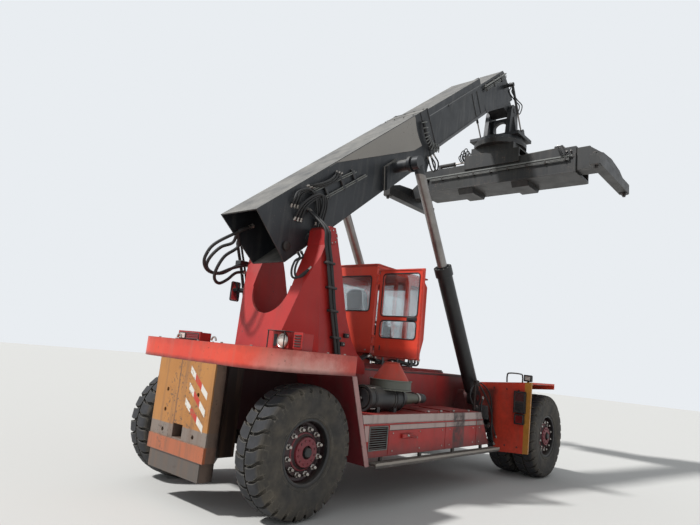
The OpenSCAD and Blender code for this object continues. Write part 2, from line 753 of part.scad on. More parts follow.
// The seat on its pedestal, and the column ahead of it
seat_x = cab_rear + 280;
cushion_z = cab_bottom + 410;
column_x = cab_front - 310;
module operator_seat() {
    color(black) {
        block([seat_x + 250, -180, cab_bottom + floor_t], [seat_x + 550, 180, cushion_z]);
        block([seat_x + 150, -250, cushion_z], [seat_x + 680, 250, cushion_z + 130]);
        hull() {
            block([seat_x + 120, -240, cushion_z + 60], [seat_x + 240, 240, cushion_z + 120]);
            block([seat_x, -220, cushion_z + 660], [seat_x + 90, 220, cushion_z + 740]);
        }
        for (side = [-1, 1]) at_side(side)
            block([seat_x + 200, 249, cushion_z + 60], [seat_x + 560, 330, cushion_z + 200]);
        block([column_x, -130, cab_bottom + floor_t], [column_x + 110, 130, cushion_z + 160]);
        translate([column_x + 20, 0, cushion_z + 150]) rotate([0, -30, 0]) {
            cylinder(r = 30, h = 110);
            translate([0, 0, 90]) cylinder(r = 190, h = 30);
        }
    }
}

// Door, hung at the rear edge of the doorway and standing open
hinge_x = cab_rear + 30;
hinge_y = -cab_half_w - 45;
hinge_r = 22;
hinge_pin_r = 12;
hinge_l = 100;
door_low = cab_bottom - 50;
door_high = cab_top - 120;
hinge_zs = [door_low + 220, door_high - 220];
upper_pane = [[110, door_w - 80], [door_low + 700, door_high - 80]];
lower_pane = [[120, door_w - 90], [door_low + 330, door_low + 620]];
module on_door() {
    translate([hinge_x, hinge_y, 0]) rotate([0, 0, -door_open]) children();
}
module hinge_lugs() {
    for (z = hinge_zs) translate([hinge_x, hinge_y, z]) {
        translate([0, 0, -40]) cylinder(r = hinge_pin_r, h = hinge_l + 80);
        for (low = [-40, hinge_l + seat]) translate([0, 0, low]) {
            cylinder(r = hinge_r, h = 40 - seat);
            translate([-hinge_r, 0, 0]) cube([2 * hinge_r, 50, 40 - seat]);
        }
    }
}
module cab_door() {
    color(orange) on_door() difference() {
        union() {
            block([hinge_r + 8, -door_t / 2, door_low], [door_w, door_t / 2, door_high]);
            for (z = hinge_zs) translate([0, 0, z]) {
                cylinder(r = hinge_r, h = hinge_l);
                translate([0, -15, 0]) cube([hinge_r + 10, 30, hinge_l]);
            }
        }
        for (z = hinge_zs) translate([0, 0, z - 1]) cylinder(r = hinge_pin_r + running, h = hinge_l + 2);
        window_y(upper_pane[0], upper_pane[1], -door_t, door_t);
        window_y(lower_pane[0], lower_pane[1], -door_t, door_t);
    }
}
module door_glass() {
    color([0.6, 0.7, 0.75, 0.4]) on_door() {
        window_y(upper_pane[0], upper_pane[1], -4, 4);
        window_y(lower_pane[0], lower_pane[1], -4, 4);
    }
}

// Outer boom: a trapezoid box with flat cheeks at the front, on its pivot tube
module boom_section(top_w, bottom_w, top, under, s0, s1) {
    translate([s0, 0, 0]) rotate([90, 0, 90]) linear_extrude(s1 - s0)
        polygon([[-bottom_w, -under], [bottom_w, -under], [top_w, top], [-top_w, top]]);
}
trunnion_y = cylinder_y - rod_r - 10;
trunnion_r = 110;
cheek_rear = 1130;
cheek_low = 250;
cheek_arc = 790;       // radius of the hollow front edge
cheek_arc_n = 450;
collar_in = 6;         // by how much the collar lies inside the outer boom's faces
pad_s = 3300;
module boom_outer() {
    color(charcoal) on_boom() {
        difference() {
            union() {
                difference() {
                    union() {
                        intersection() {
                            boom_section(boom_half_top, boom_half_bottom, boom_top, boom_under,
                                -boom_tail - 10, boom_front + 10);
                            side_plate(-600, 600, [[-boom_tail, boom_top], [boom_front, boom_top],
                                [boom_front, cheek_low], [boom_front - 530, -boom_under],
                                [-boom_tail + 140, -boom_under]]);
                        }
                        for (side = [-1, 1]) at_side(side)
                            side_plate(boom_half_bottom - 20, boom_half_top, [[cheek_rear, boom_top],
                                [boom_front, boom_top], [boom_front, cheek_low],
                                [boom_front - 400, cheek_low + 10]]);
                    }
                    translate([boom_front + cheek_arc - 90, 0, cheek_arc_n])
                        shaft_y(cheek_arc, -boom_half_top - 10, boom_half_top + 10);
                }
                boom_section(boom_half_top - collar_in, boom_half_bottom - collar_in, boom_top - collar_in,
                    boom_under - collar_in, pad_s, collar_front);
                // ribs of the collar
                for (s = [collar_front - 30, collar_front - 330])
                    boom_section(boom_half_top + 4, boom_half_bottom + 4, boom_top - 1, boom_under, s, s + 30);
            }
            boom_section(boom_half_top - boom_plate, boom_half_bottom - boom_plate, boom_top - boom_plate,
                boom_under - boom_plate, -boom_tail - 20, collar_front + 20);
        }
        for (side = [-1, 1]) at_side(side) {
            // pivot stubs and the bosses of the lift cylinders on their gussets
            shaft_y(pivot_r, boom_half_bottom - 10, leg_outer - 20);
            translate([eye_s, 0, eye_n]) {
                shaft_y(trunnion_r, boom_half_bottom - 5, trunnion_y);
                shaft_y(trunnion_r + 40, trunnion_y - 60, trunnion_y);
            }
            side_plate(boom_half_bottom - 5, boom_half_bottom + 130, [[2200, -60], [3300, -60], [2900, 330],
                [2450, 330]]);
            side_plate(boom_half_bottom - 60, boom_half_bottom - 10, [[3600, -boom_under + 15],
                [4150, -boom_under + 15], [4060, -200], [3900, -320], [3720, -320]]);
            // slide pads
            block([pad_s - 200, 120, -boom_under + boom_plate], [pad_s, 320, -inner_under - seat]);
        }
        block([pad_s + 200, -250, inner_top + seat], [pad_s + 500, 250, boom_top - boom_plate]);
    }
}

// Inner boom: a box that ends in the nose with the head pin's lugs
inner_rear = 2180;
nose_profile = [[inner_front, 700], [9020, 680], [9100, 600], [9230, -380], [9140, -560], [8960, -560],
    [8850, -420], [8700, -220], [inner_front + 150, -inner_under], [inner_front, -inner_under]];
nose_half_w = 330;
nose_plate = 30;
lug_half_w = 250;
damper_s = 8790;
damper_n = 300;
damper_y = 600;
damper_eye_w = 70;
damper_pin_r = 25;
damper_rod_r = 20;
damper_r = 33;
rail_n = [640, 700];
rail_rear = 5550;
rib_n = [60, 600];
rib_ss = [6800, 7080];
inner_proud = 12;
function inner_half(n) = inner_half_bottom
    + (inner_half_top - inner_half_bottom) * (n + inner_under) / (inner_top + inner_under);
// A band around the inner boom between two heights and two places along it
module inner_band(low, high, s0, s1) {
    boom_section(inner_half(high) + inner_proud, inner_half(low) + inner_proud, high, -low, s0, s1);
}
module boom_inner() {
    color(charcoal) on_boom() difference() {
        union() {
            boom_section(inner_half_top, inner_half_bottom, inner_top, inner_under, inner_rear, inner_front);
            inner_band(rail_n[0], rail_n[1], rail_rear, inner_front);
            inner_band(-inner_under, inner_under, collar_front + 40, inner_front);
            for (s = rib_ss) inner_band(rib_n[0], rib_n[1], s, s + 70);
        }
        boom_section(inner_half_top - inner_plate, inner_half_bottom - inner_plate, inner_top - inner_plate,
            inner_under - inner_plate, inner_rear + inner_plate, inner_front - 60);
    }
}

// Nose: the tapered casting at the inner boom's end, with the lugs of the head pin and the dampers' pins
module boom_nose() {
    floor_n = nose_plate - inner_under;
    color(charcoal) on_boom() {
        difference() {
            side_plate(-nose_half_w, nose_half_w, nose_profile);
            side_plate(-nose_half_w + nose_plate, nose_half_w - nose_plate, [[inner_front + nose_plate, 660],
                [8980, 640], [9060, 560], [9130, 100], [8700, -60], [inner_front + 150, floor_n],
                [inner_front + nose_plate, floor_n]]);
            for (side = [-1, 1]) at_side(side)
                block([8600, lug_half_w, -700], [9400, nose_half_w + 1, -170]);
            translate([head_s, 0, -head_drop]) shaft_y(head_pin_r + running, -400, 400);
        }
        for (side = [-1, 1]) at_side(side) {
            translate([damper_s, 0, damper_n]) {
                shaft_y(50, nose_half_w - 5, damper_y - damper_eye_w / 2 - 5);
                shaft_y(damper_pin_r, nose_half_w - 5, damper_y + damper_eye_w / 2 + 10);
            }
            // the rail's end and the raised side plate below it
            block([inner_front, nose_half_w - 5, rail_n[0]], [8900, nose_half_w + 60, rail_n[1]]);
            side_plate(nose_half_w - 5, nose_half_w + 25, [[inner_front, 540], [8650, 540], [8900, 150],
                [8560, -150], [inner_front, 20]]);
            side_plate(nose_half_w - 5, nose_half_w + 40, [[inner_front, -inner_under],
                [inner_front + 150, -inner_under], [8400, -170], [8400, -110], [inner_front, 20]]);
        }
    }
}

// Head: a fork that hangs plumb from the boom's nose, over the fixed ring
yoke_z = 8500;
ear_z = yoke_z + 120;
yoke_half_w = 720;
yoke_half_l = 420;
yoke_plate = 90;
web_t = 120;
web_top = head_z - 200;
web_hole_r = 200;
turntable_r = 650;
slew_r = 200; // spigot that the rotator turns on
ear_r = 62;
ear_t = 25;
module head_yoke() {
    color(charcoal) translate([head_x, 0, 0]) {
        for (side = [-1, 1]) at_side(side) {
            side_plate(lug_half_w + 12, lug_half_w + 130, [[-300, yoke_z - 1], [300, yoke_z - 1],
                [200, head_z - 60], [150, head_z + 60], [80, head_z + 150], [-80, head_z + 150],
                [-150, head_z + 60], [-200, head_z - 60]]);
            // round-ended ears of the dampers
            for (y = [damper_y - damper_eye_w / 2 - 5 - ear_t, damper_y + damper_eye_w / 2 + 5]) {
                side_plate(y, y + ear_t, [[-150, yoke_z - 1], [150, yoke_z - 1], [ear_r, ear_z],
                    [-ear_r, ear_z]]);
                translate([0, 0, ear_z]) shaft_y(ear_r, y, y + ear_t);
            }
        }
        // web between the plates, with its round hole
        difference() {
            translate([-web_t / 2, 0, 0]) rotate([90, 0, 90]) linear_extrude(web_t)
                polygon([[-530, yoke_z - 1], [530, yoke_z - 1], [460, yoke_z + 240], [400, web_top],
                    [-400, web_top], [-460, yoke_z + 240]]);
            translate([-web_t, 0, yoke_z + 300]) rotate([0, 90, 0]) cylinder(r = web_hole_r, h = 2 * web_t);
        }
        translate([0, 0, head_z]) shaft_y(head_pin_r, -lug_half_w - 145, lug_half_w + 145);
        block([-yoke_half_l, -yoke_half_w, yoke_z - yoke_plate], [yoke_half_l, yoke_half_w, yoke_z]);
        translate([0, 0, yoke_z - 200]) cylinder(r = turntable_r, h = 201 - yoke_plate);
        translate([0, 0, yoke_z - 230]) cylinder(r = slew_r, h = 40);
    }
}

// Rotator: the turning ring and the cradle that the spreader shifts in
cradle_top = yoke_z - 330;
cradle_low = spreader_z + main_top;
cradle_half_l = 800;
cradle_step = cradle_low + 230;
cradle_plate = 30;
guide_deep = 160;
module rotator() {
    color(charcoal) translate([head_x, 0, 0]) {
        difference() {
            translate([0, 0, cradle_top]) cylinder(r = turntable_r + 60, h = 130 - seat);
            translate([0, 0, yoke_z - 240]) cylinder(r = slew_r + running, h = 50);
        }
        // stepped cradle, open at its ends
        difference() {
            block([-520, -cradle_half_l, cradle_low + seat], [520, cradle_half_l, cradle_step]);
            for (end = [0, 1]) mirror([0, end, 0])
                block([-520 + cradle_plate, cradle_plate, cradle_low + cradle_plate],
                    [520 - cradle_plate, cradle_half_l + 1, cradle_step - cradle_plate]);
        }
        block([-480, -620, cradle_step - 1], [480, 620, cradle_top + 1]);
        // guides along the main frame's sides
        for (end = [0, 1]) mirror([end, 0, 0])
            block([main_half_w + 6, -cradle_half_l, cradle_low - guide_deep],
                [main_half_w + 50, cradle_half_l, cradle_low + 40]);
    }
}

// Spreader's main frame: a long box that houses both arms, with ledges and a flange along each side
arm_half = 20;
arm_plate = 15;
arm_gap = 5;
arm_low = 240;
arm_high = main_top - 45;
main_under = 170;
ledge_z = 560;
ledge = 35;
side_wall = 20;
mid_wall = 10; // half of the wall between the two arms
rest_y = 790;
module spreader_frame() {
    color(charcoal) translate([head_x, 0, spreader_z]) {
        difference() {
            union() {
                block([-main_half_w, -main_half_l, main_under], [main_half_w, main_half_l, main_top]);
                for (z = [main_under, ledge_z])
                    block([-main_half_w - ledge, -main_half_l + 40, z],
                        [main_half_w + ledge, main_half_l - 40, z + ledge]);
                for (y = [-main_half_l, main_half_l - 60])
                    block([-main_half_w - 25, y, main_under + 1],
                        [main_half_w + 25, y + 60, main_top - guide_deep - 30]);
            }
            for (end = [0, 1]) mirror([end, 0, 0])
                block([mid_wall, -main_half_l - 1, arm_low - arm_gap],
                    [main_half_w - side_wall, main_half_l + 1, arm_high + arm_gap]);
        }
        // rests under the frame
        for (y = [-rest_y, rest_y])
            side_plate(y - 220, y + 220, [[-420, main_under + 1], [420, main_under + 1], [330, 40],
                [-330, 40]]);
    }
}

// Arm: a sliding beam with the end beam and its twistlocks
end_beam = [20, 260];
end_t = 70;
end_gable = [[-1220, 200], [-1220, 300], [-670, 485], [0, 550], [670, 485], [1220, 300], [1220, 200]];
lock_half = 85;
module spreader_arm(side) {
    beam_out = main_half_w - 25;
    color("dimgray") at_side(side) translate([head_x, 0, spreader_z]) {
        mirror([side > 0 ? 0 : 1, 0, 0]) difference() {
            block([arm_half, -2150, arm_low - arm_gap + seat], [beam_out, lock_y - end_t + 10, arm_high]);
            block([arm_half + arm_plate, -2151, arm_low + arm_plate], [beam_out - arm_plate, 2500,
                arm_high - arm_plate]);
            translate([-600, 2560, arm_high - 10]) rotate([-37, 0, 0]) cube([1200, 700, 500]);
        }
        block([-end_half_x, lock_y - 125, end_beam[0]], [end_half_x, lock_y + 100, end_beam[1]]);
        translate([0, lock_y + 10, 0]) rotate([90, 0, 0]) linear_extrude(end_t) polygon(end_gable);
        for (x = [-lock_x, lock_x]) {
            translate([x, lock_y, -70]) {
                cylinder(r = 38, h = 100);
                cylinder(r1 = 20, r2 = 52, h = 40);
            }
            block([x - lock_half, lock_y - lock_half, 0], [x + lock_half, lock_y + lock_half, 30]);
            block([x - 60, lock_y - 60, end_beam[1] - 1], [x + 60, lock_y + 60, end_beam[1] + 60]);
        }
    }
}

// Lift cylinder: the barrel stands on the foot pin and the rod's eye is beside the boom's boss
eye_x = pivot_x + eye_s * boom_cos - eye_n * boom_sin;
eye_z = pivot_z + eye_s * boom_sin + eye_n * boom_cos;
lift_angle = atan2(eye_z - foot_z, eye_x - foot_x);
lift_l = norm([eye_x - foot_x, eye_z - foot_z]);
rod_l = 3050;
barrel_start = 190;
barrel_floor = 35;
collar_l = 180;
module on_lift(side) {
    at_side(side) translate([foot_x, cylinder_y, foot_z]) rotate([0, -lift_angle, 0]) children();
}
// A round bar along the cylinder's own axis
module bar(r, x0, x1) {
    translate([x0, 0, 0]) rotate([0, 90, 0]) cylinder(r = r, h = x1 - x0);
}
module lift_barrel(side) {
    color(black) on_lift(side) difference() {
        union() {
            bar(75, 0, barrel_start + 10);
            bar(barrel_r, barrel_start, barrel_l);
            bar(barrel_r + 25, barrel_l - collar_l, barrel_l);
            shaft_y(160, -80, 80);
        }
        bar(rod_r + running, barrel_start + barrel_floor, barrel_l + 100);
        shaft_y(foot_pin_r + running, -90, 100);
    }
}
module lift_rod(side) {
    color(steel) on_lift(side) {
        bar(rod_r, lift_l - rod_l, lift_l - 60);
        translate([lift_l, 0, 0]) shaft_y(135, -60, 70);
    }
}

// Damper: a small cylinder from the boom's nose down to the fork's ear
damper_x = pivot_x + damper_s * boom_cos - damper_n * boom_sin;
damper_z = pivot_z + damper_s * boom_sin + damper_n * boom_cos;
damper_angle = atan2(ear_z - damper_z, head_x - damper_x);
damper_barrel_l = 800;
damper_l = norm([head_x - damper_x, ear_z - damper_z]);
module on_damper(side) {
    at_side(side) translate([damper_x, damper_y, damper_z]) rotate([0, -damper_angle, 0]) children();
}
module damper_barrel(side) {
    color(black) on_damper(side) difference() {
        union() {
            shaft_y(55, -damper_eye_w / 2, damper_eye_w / 2);
            bar(damper_r, 30, damper_barrel_l);
        }
        bar(damper_rod_r + running, 150, damper_barrel_l + 100);
        shaft_y(damper_pin_r + running, -50, 50);
    }
}
module damper_rod(side) {
    color(steel) on_damper(side) {
        bar(damper_rod_r, 330, damper_l - 30);
        translate([damper_l, 0, 0]) shaft_y(48, -damper_eye_w / 2, damper_eye_w / 2);
    }
}

place() main_frame();
place() frame_tail();
place() tower();
place() rear_deck();
place() deck_lamps();
place() counterweight();
place() wheel_guards();
place() side_box_left();
place() side_box_right();
place() running_boards();
place() engine_block();
place() air_cleaner();
place() cab_rails();
place() steer_axle();
place() drive_axle();
place() front_mudguards();
place() lamp_boxes();
place() cab_shell();
place() cab_glass();
place() operator_seat();
place() cab_door();
place() door_glass();
place() boom_outer();
place() boom_inner();
place() boom_nose();
place() head_yoke();
place() rotator();
place() spreader_frame();
place() spreader_arm(1);  // spreader_arm_left
place() spreader_arm(-1);  // spreader_arm_right
place() lift_barrel(1);  // lift_barrel_left
place() lift_barrel(-1);  // lift_barrel_right
place() lift_rod(1);  // lift_rod_left
place() lift_rod(-1);  // lift_rod_right
place() damper_barrel(1);  // damper_barrel_left
place() damper_barrel(-1);  // damper_barrel_right
place() damper_rod(1);  // damper_rod_left
place() damper_rod(-1);  // damper_rod_right
place() knuckle(1);  // knuckle_left
place() knuckle(-1);  // knuckle_right
place() rear_tyre(1);  // rear_tyre_left
place() rear_tyre(-1);  // rear_tyre_right
place() rear_rim(1);  // rear_rim_left
place() rear_rim(-1);  // rear_rim_right
place() front_tyres(1);  // front_tyres_left
place() front_tyres(-1);  // front_tyres_right
place() front_rims(1);  // front_rims_left
place() front_rims(-1);  // front_rims_right
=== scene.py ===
"""Looks of the reach stacker: camera, light, finishes and the trim that the frame doesn't hold."""
import itertools
import json
import math

import bmesh
import bpy
from mathutils import Matrix, Vector


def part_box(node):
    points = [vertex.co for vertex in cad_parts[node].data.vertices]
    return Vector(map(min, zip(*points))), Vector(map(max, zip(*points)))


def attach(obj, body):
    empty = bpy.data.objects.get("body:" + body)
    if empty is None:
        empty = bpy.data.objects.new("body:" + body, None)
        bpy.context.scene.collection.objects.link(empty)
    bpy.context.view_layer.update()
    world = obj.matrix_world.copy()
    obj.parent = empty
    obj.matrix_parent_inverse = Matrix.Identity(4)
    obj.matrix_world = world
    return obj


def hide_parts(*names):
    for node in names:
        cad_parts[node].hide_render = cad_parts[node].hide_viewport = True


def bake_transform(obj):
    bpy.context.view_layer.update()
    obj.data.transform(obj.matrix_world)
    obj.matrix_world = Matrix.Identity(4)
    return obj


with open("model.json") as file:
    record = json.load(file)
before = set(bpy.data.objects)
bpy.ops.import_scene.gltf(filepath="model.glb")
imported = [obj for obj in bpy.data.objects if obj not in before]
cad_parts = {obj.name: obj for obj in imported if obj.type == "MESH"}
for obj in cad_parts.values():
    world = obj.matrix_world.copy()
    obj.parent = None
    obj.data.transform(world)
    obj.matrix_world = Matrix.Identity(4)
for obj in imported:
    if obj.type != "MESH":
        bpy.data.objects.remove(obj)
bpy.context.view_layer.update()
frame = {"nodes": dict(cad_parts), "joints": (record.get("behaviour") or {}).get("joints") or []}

# Places that the trim takes from the frame. X is measured from the rear axle, as a fitter would.
rear_low, rear_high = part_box("rear_tyre_left")
AXLE_X = (rear_low[0] + rear_high[0]) / 2
AXLE_Z = (rear_low[2] + rear_high[2]) / 2
TYRE_R = (rear_high[2] - rear_low[2]) / 2
front_low, front_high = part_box("front_tyres_left")
FRONT_X = (front_low[0] + front_high[0]) / 2
joints = {joint["name"]: joint for joint in frame["joints"]}
PIVOT = Vector(joints["boom_lift"]["pos_m"])
ALONG = -Vector(joints["telescope"]["axis"])
SQUARE = Vector((-ALONG.z, 0.0, ALONG.x))
BOOM_TURN = Matrix.Rotation(-math.asin(ALONG.z), 3, "Y")
AHEAD, LEFT, UP = Vector((1, 0, 0)), Vector((0, 1, 0)), Vector((0, 0, 1))
HEAD_X = joints["head_pitch"]["pos_m"][0] - AXLE_X


def place(x, y, z):
    """A point in metres, with x ahead of the rear axle."""
    return Vector((AXLE_X + x, y, z))


def on_boom(s, y, n):
    """A point in metres from the boom's pivot: s along the boom, and n square to it."""
    return PIVOT + ALONG * s + SQUARE * n + Vector((0.0, y, 0.0))


def turns(count, first=0.0):
    """The angles that share a full turn evenly."""
    return [2 * math.pi * (k + first) / count for k in range(count)]


def corners(first, second):
    """The low and the high corner of a box, from two that are given in any order along each axis."""
    pairs = list(zip(place(*first), place(*second)))
    return [min(pair) for pair in pairs], [max(pair) for pair in pairs]


# Camera

CAMERA_PLACE = (-5.3223, -6.6266, 2.1412)
CAMERA_YAW = math.radians(41.45)
CAMERA_PITCH = math.radians(9.75)
CAMERA_ROLL = math.radians(5.655)
CAMERA_LENS = 27.94
SENSOR_WIDTH = 36.0


def make_camera():
    data = bpy.data.cameras.new("camera")
    data.lens = CAMERA_LENS
    data.sensor_width = SENSOR_WIDTH
    data.clip_end = 200.0
    camera = bpy.data.objects.new("camera", data)
    flat = math.cos(CAMERA_PITCH)
    look = Vector((math.cos(CAMERA_YAW) * flat, math.sin(CAMERA_YAW) * flat, math.sin(CAMERA_PITCH)))
    level = look.cross(UP).normalized()
    upward = level.cross(look)
    right = level * math.cos(CAMERA_ROLL) + upward * math.sin(CAMERA_ROLL)
    top = upward * math.cos(CAMERA_ROLL) - level * math.sin(CAMERA_ROLL)
    turn = Matrix((right, top, -look)).transposed()
    camera.matrix_world = Matrix.Translation(place(*CAMERA_PLACE)) @ turn.to_4x4()
    bpy.context.collection.objects.link(camera)
    bpy.context.scene.camera = camera


# Materials


def linear(code):
    """A sRGB hex value as a linear colour with full alpha."""
    parts = [int(code[i:i + 2], 16) / 255 for i in (1, 3, 5)]
    return tuple(p / 12.92 if p <= 0.04045 else ((p + 0.055) / 1.055) ** 2.4 for p in parts) + (1.0,)


def add(tree, kind, out=0, **settings):
    """Add a node and return one of its outputs. A setting is one of the node's own, or it fills an input,
    given by its name or as i and its number, with a socket, a number or a hex colour."""
    node = tree.nodes.new("ShaderNode" + kind)
    for key, value in settings.items():
        if hasattr(node, key):
            setattr(node, key, value)
            continue
        socket = node.inputs[int(key[1:]) if key[1:].isdigit() else key.replace("_", " ")]
        if isinstance(value, bpy.types.NodeSocket):
            tree.links.new(value, socket)
        else:
            socket.default_value = linear(value) if isinstance(value, str) else value
    return node.outputs[out] if node.outputs else None


TIMES = {"operation": "MULTIPLY", "use_clamp": True}
PLUS = {"operation": "ADD", "use_clamp": True}

# Cells of each pattern to a metre, from its real size in millimetres
PATCHES = 0.9 # the sun fades a panel in patches about 1100 mm across
RUNS = 5.0 # stretched below, so that rain runs are 125 mm apart and 1250 mm long
RUN_STRETCH = (1.6, 1.6, 0.16)
SPECKS = 22.0 # 45 mm: stone chips of 2 to 5 mm are too fine to show and are drawn coarse
SPECK_FIELDS = 1.7 # chips gather in fields of 590 mm
EDGE_WEAR = 9.0 # rubbed lengths of 110 mm along an edge
DUST = 2.6 # settled dust lies in drifts of 385 mm
SHEEN = 3.0 # gloss changes every 330 mm
PLATE_WAVES = 2.2 # welding pulls plate into waves of 450 mm
RAGGED_EDGE = 7.0 # a brushed or worn border wanders every 140 mm
TONES = 2.5 # stains of 400 mm
POLISH = 6.0 # hand-sized shine, 170 mm
LUG_RUBS = 12.0 # rubbed spots of 83 mm on a lug's edge
RUBBER_PATCHES = 7.0 # 140 mm
MUD = 3.0 # 330 mm
SCUFFS = 45.0 # 22 mm: grit of 5 mm drawn coarse
SIDEWALL_RINGS = 520.0 # radians to a metre, so that the mould's rings are 12 mm apart

WEAR_RADIUS = 0.012
EASED_EDGE = 0.006
FACES_SKY = (0.3, 0.8) # along the normal's Z
FACES_GROUND = (-0.3, -0.8)
# near black for surfaces that face the ground: road grime and painted shade under things
UNDERSIDE_GRIME_AND_SHADE = "#1B1716"


def new_tree(name):
    material = bpy.data.materials.new(name)
    material.use_nodes = True
    material.node_tree.nodes.clear()
    return material, material.node_tree


def surface(tree, **settings):
    add(tree, "OutputMaterial", Surface=add(tree, "BsdfPrincipled", **settings))


def blotches(tree, cells, detail=4.0, roughness=0.55, stretch=None, between=None):
    """Uneven blotches, so many cells to a metre. between gives the two levels that become 0 and 1."""
    coords = add(tree, "TexCoord", "Object")
    if stretch:
        coords = add(tree, "Mapping", Scale=stretch, Vector=coords)
    level = add(tree, "TexNoise", Scale=cells, Detail=detail, Roughness=roughness, Vector=coords)
    if between:
        level = add(tree, "MapRange", clamp=True, From_Min=between[0], From_Max=between[1], Value=level)
    return level


def coat(tree, under, over, mask, amount=1.0):
    """One colour over another where the mask is 1, as thick as amount says."""
    if amount < 1.0:
        mask = add(tree, "Math", **TIMES, i0=mask, i1=amount)
    return add(tree, "Mix", 2, data_type="RGBA", Factor=mask, i6=under, i7=over)


def facing(tree, way):
    """1 on surfaces that face the sky or the ground."""
    rise = add(tree, "SeparateXYZ", "Z", Vector=add(tree, "NewGeometry", "Normal"))
    return add(tree, "MapRange", clamp=True, From_Min=way[0], From_Max=way[1], Value=rise)


def edges(tree):
    """1 along sharp edges, where paint and rubber wear first."""
    soft = add(tree, "Bevel", samples=4, Radius=WEAR_RADIUS)
    true = add(tree, "NewGeometry", "True Normal")
    dot = add(tree, "VectorMath", "Value", operation="DOT_PRODUCT", i0=soft, i1=true)
    return add(tree, "MapRange", clamp=True, From_Min=0.995, From_Max=0.9, Value=dot)


# Directions that a painted zone is measured along, and where each starts. w is the distance from the middle.
AXES = {"x": (AHEAD, AXLE_X), "y": (LEFT, 0.0), "w": (LEFT, 0.0), "z": (UP, 0.0),
        "s": (ALONG, PIVOT.dot(ALONG)), "n": (SQUARE, PIVOT.dot(SQUARE))}


def zone(tree, limits, ragged, soft):
    """1 inside all the limits, each (axis, low, high). The edge wanders by ragged and fades over soft."""
    coords = add(tree, "TexCoord", "Object")
    mask = None
    for axis, low, high in limits:
        direction, start = AXES[axis]
        along = add(tree, "VectorMath", "Value", operation="DOT_PRODUCT", i0=coords, i1=direction)
        if axis == "w":
            along = add(tree, "Math", operation="ABSOLUTE", i0=along)
        if ragged:
            wander = blotches(tree, RAGGED_EDGE, 6.0, 0.7)
            along = add(tree, "Math", operation="MULTIPLY_ADD", i0=wander, i1=ragged, i2=along)
            start = start + ragged / 2
        for edge, sign in ((low, 1), (high, -1)):
            if edge is not None:
                side = add(tree, "MapRange", clamp=True, From_Min=start + edge - sign * soft,
                           From_Max=start + edge + sign * soft, Value=along)
                mask = side if mask is None else add(tree, "Math", **TIMES, i0=mask, i1=side)
    return mask


def sprayed_enamel(name, paint, faded, chip, dust, chips=0.62, dusty=0.7, gloss=0.45, streaks=0.5, zones=()):
    """Enamel sprayed on steel plate. It looks smooth and faintly wavy, fades in patches, chips to primer along
    its edges, carries rain runs on walls, and turns matt with dust where it faces the sky, a dust that on the
    charcoal paints is also a painted highlight of sunlight. Where it faces the ground it darkens with road
    grime and painted shade.

    zones are places painted or stained otherwise, or given painted shade or a painted highlight, each (colour,
    amount, ragged, soft, limits)."""
    material, tree = new_tree(name)
    colour = coat(tree, paint, faded, blotches(tree, PATCHES, 6.0, 0.6, between=(0.35, 0.7)))
    for tint, amount, ragged, soft, limits in zones:
        colour = coat(tree, colour, tint, zone(tree, limits, ragged, soft), amount)
    # surfaces that face the ground darkened: road grime and painted shade
    colour = coat(tree, colour, UNDERSIDE_GRIME_AND_SHADE, facing(tree, FACES_GROUND), 0.6)
    runs = blotches(tree, RUNS, 5.0, 0.65, RUN_STRETCH, (0.5, 0.78))
    colour = coat(tree, colour, dust, runs, streaks)
    specks = add(tree, "Math", **TIMES, i0=blotches(tree, SPECKS, 6.0, 0.7, between=(chips, chips + 0.04)),
                 i1=blotches(tree, SPECK_FIELDS, between=(0.5, 0.65)))
    worn = add(tree, "Math", **TIMES, i0=edges(tree),
               i1=blotches(tree, EDGE_WEAR, 5.0, 0.7, between=(0.42, 0.6)))
    chipped = add(tree, "Math", operation="MAXIMUM", use_clamp=True, i0=specks, i1=worn)
    colour = coat(tree, colour, chip, chipped)
    # dust where the surface faces the sky; the charcoal's pale dust there is also a painted highlight of
    # sunlight
    dust_and_top_light = add(tree, "Math", **TIMES, i0=facing(tree, FACES_SKY),
                  i1=blotches(tree, DUST, 6.0, 0.65, between=(0.2, 0.65)))
    colour = coat(tree, colour, dust, dust_and_top_light, dusty)
    rough = add(tree, "Math", **TIMES, i0=blotches(tree, SHEEN, between=(0.1, 0.9)), i1=0.25)
    rough = add(tree, "Math", **PLUS, i0=rough, i1=gloss - 0.1)
    rough = add(tree, "Math", **PLUS, i0=rough, i1=add(tree, "Math", **TIMES, i0=dust_and_top_light, i1=0.3))
    height = add(tree, "Math", operation="SUBTRACT", use_clamp=True, i0=blotches(tree, PLATE_WAVES, 3.0),
                 i1=add(tree, "Math", **TIMES, i0=chipped, i1=0.35))
    relief = add(tree, "Bump", Strength=0.25, Distance=0.01, Height=height,
                 Normal=add(tree, "Bevel", samples=4, Radius=EASED_EDGE))
    surface(tree, Base_Color=colour, Roughness=rough, Normal=relief)
    return material


def even_finish(name, colour, stain, rough, metal=0.0, grain=40.0, depth=0.001, painted=()):
    """A finish of one tone that a stain clouds, with a fine grain of so many cells to a metre. painted is
    (colour, limits) of paint over a metal."""
    material, tree = new_tree(name)
    tone = coat(tree, colour, stain, blotches(tree, TONES, 5.0, 0.6, between=(0.3, 0.7)))
    bare = metal
    if painted:
        cover = zone(tree, painted[1], 0.0, 0.004)
        tone = coat(tree, tone, painted[0], cover)
        bare = add(tree, "Math", operation="MULTIPLY_ADD", i0=cover, i1=-metal, i2=metal)
    shine = add(tree, "Math", **TIMES, i0=blotches(tree, POLISH), i1=0.3)
    shine = add(tree, "Math", **PLUS, i0=shine, i1=rough - 0.15)
    surface(tree, Base_Color=tone, Metallic=bare, Roughness=shine,
            Normal=add(tree, "Bump", Strength=0.3, Distance=depth, Height=blotches(tree, grain, 3.0)))
    return material


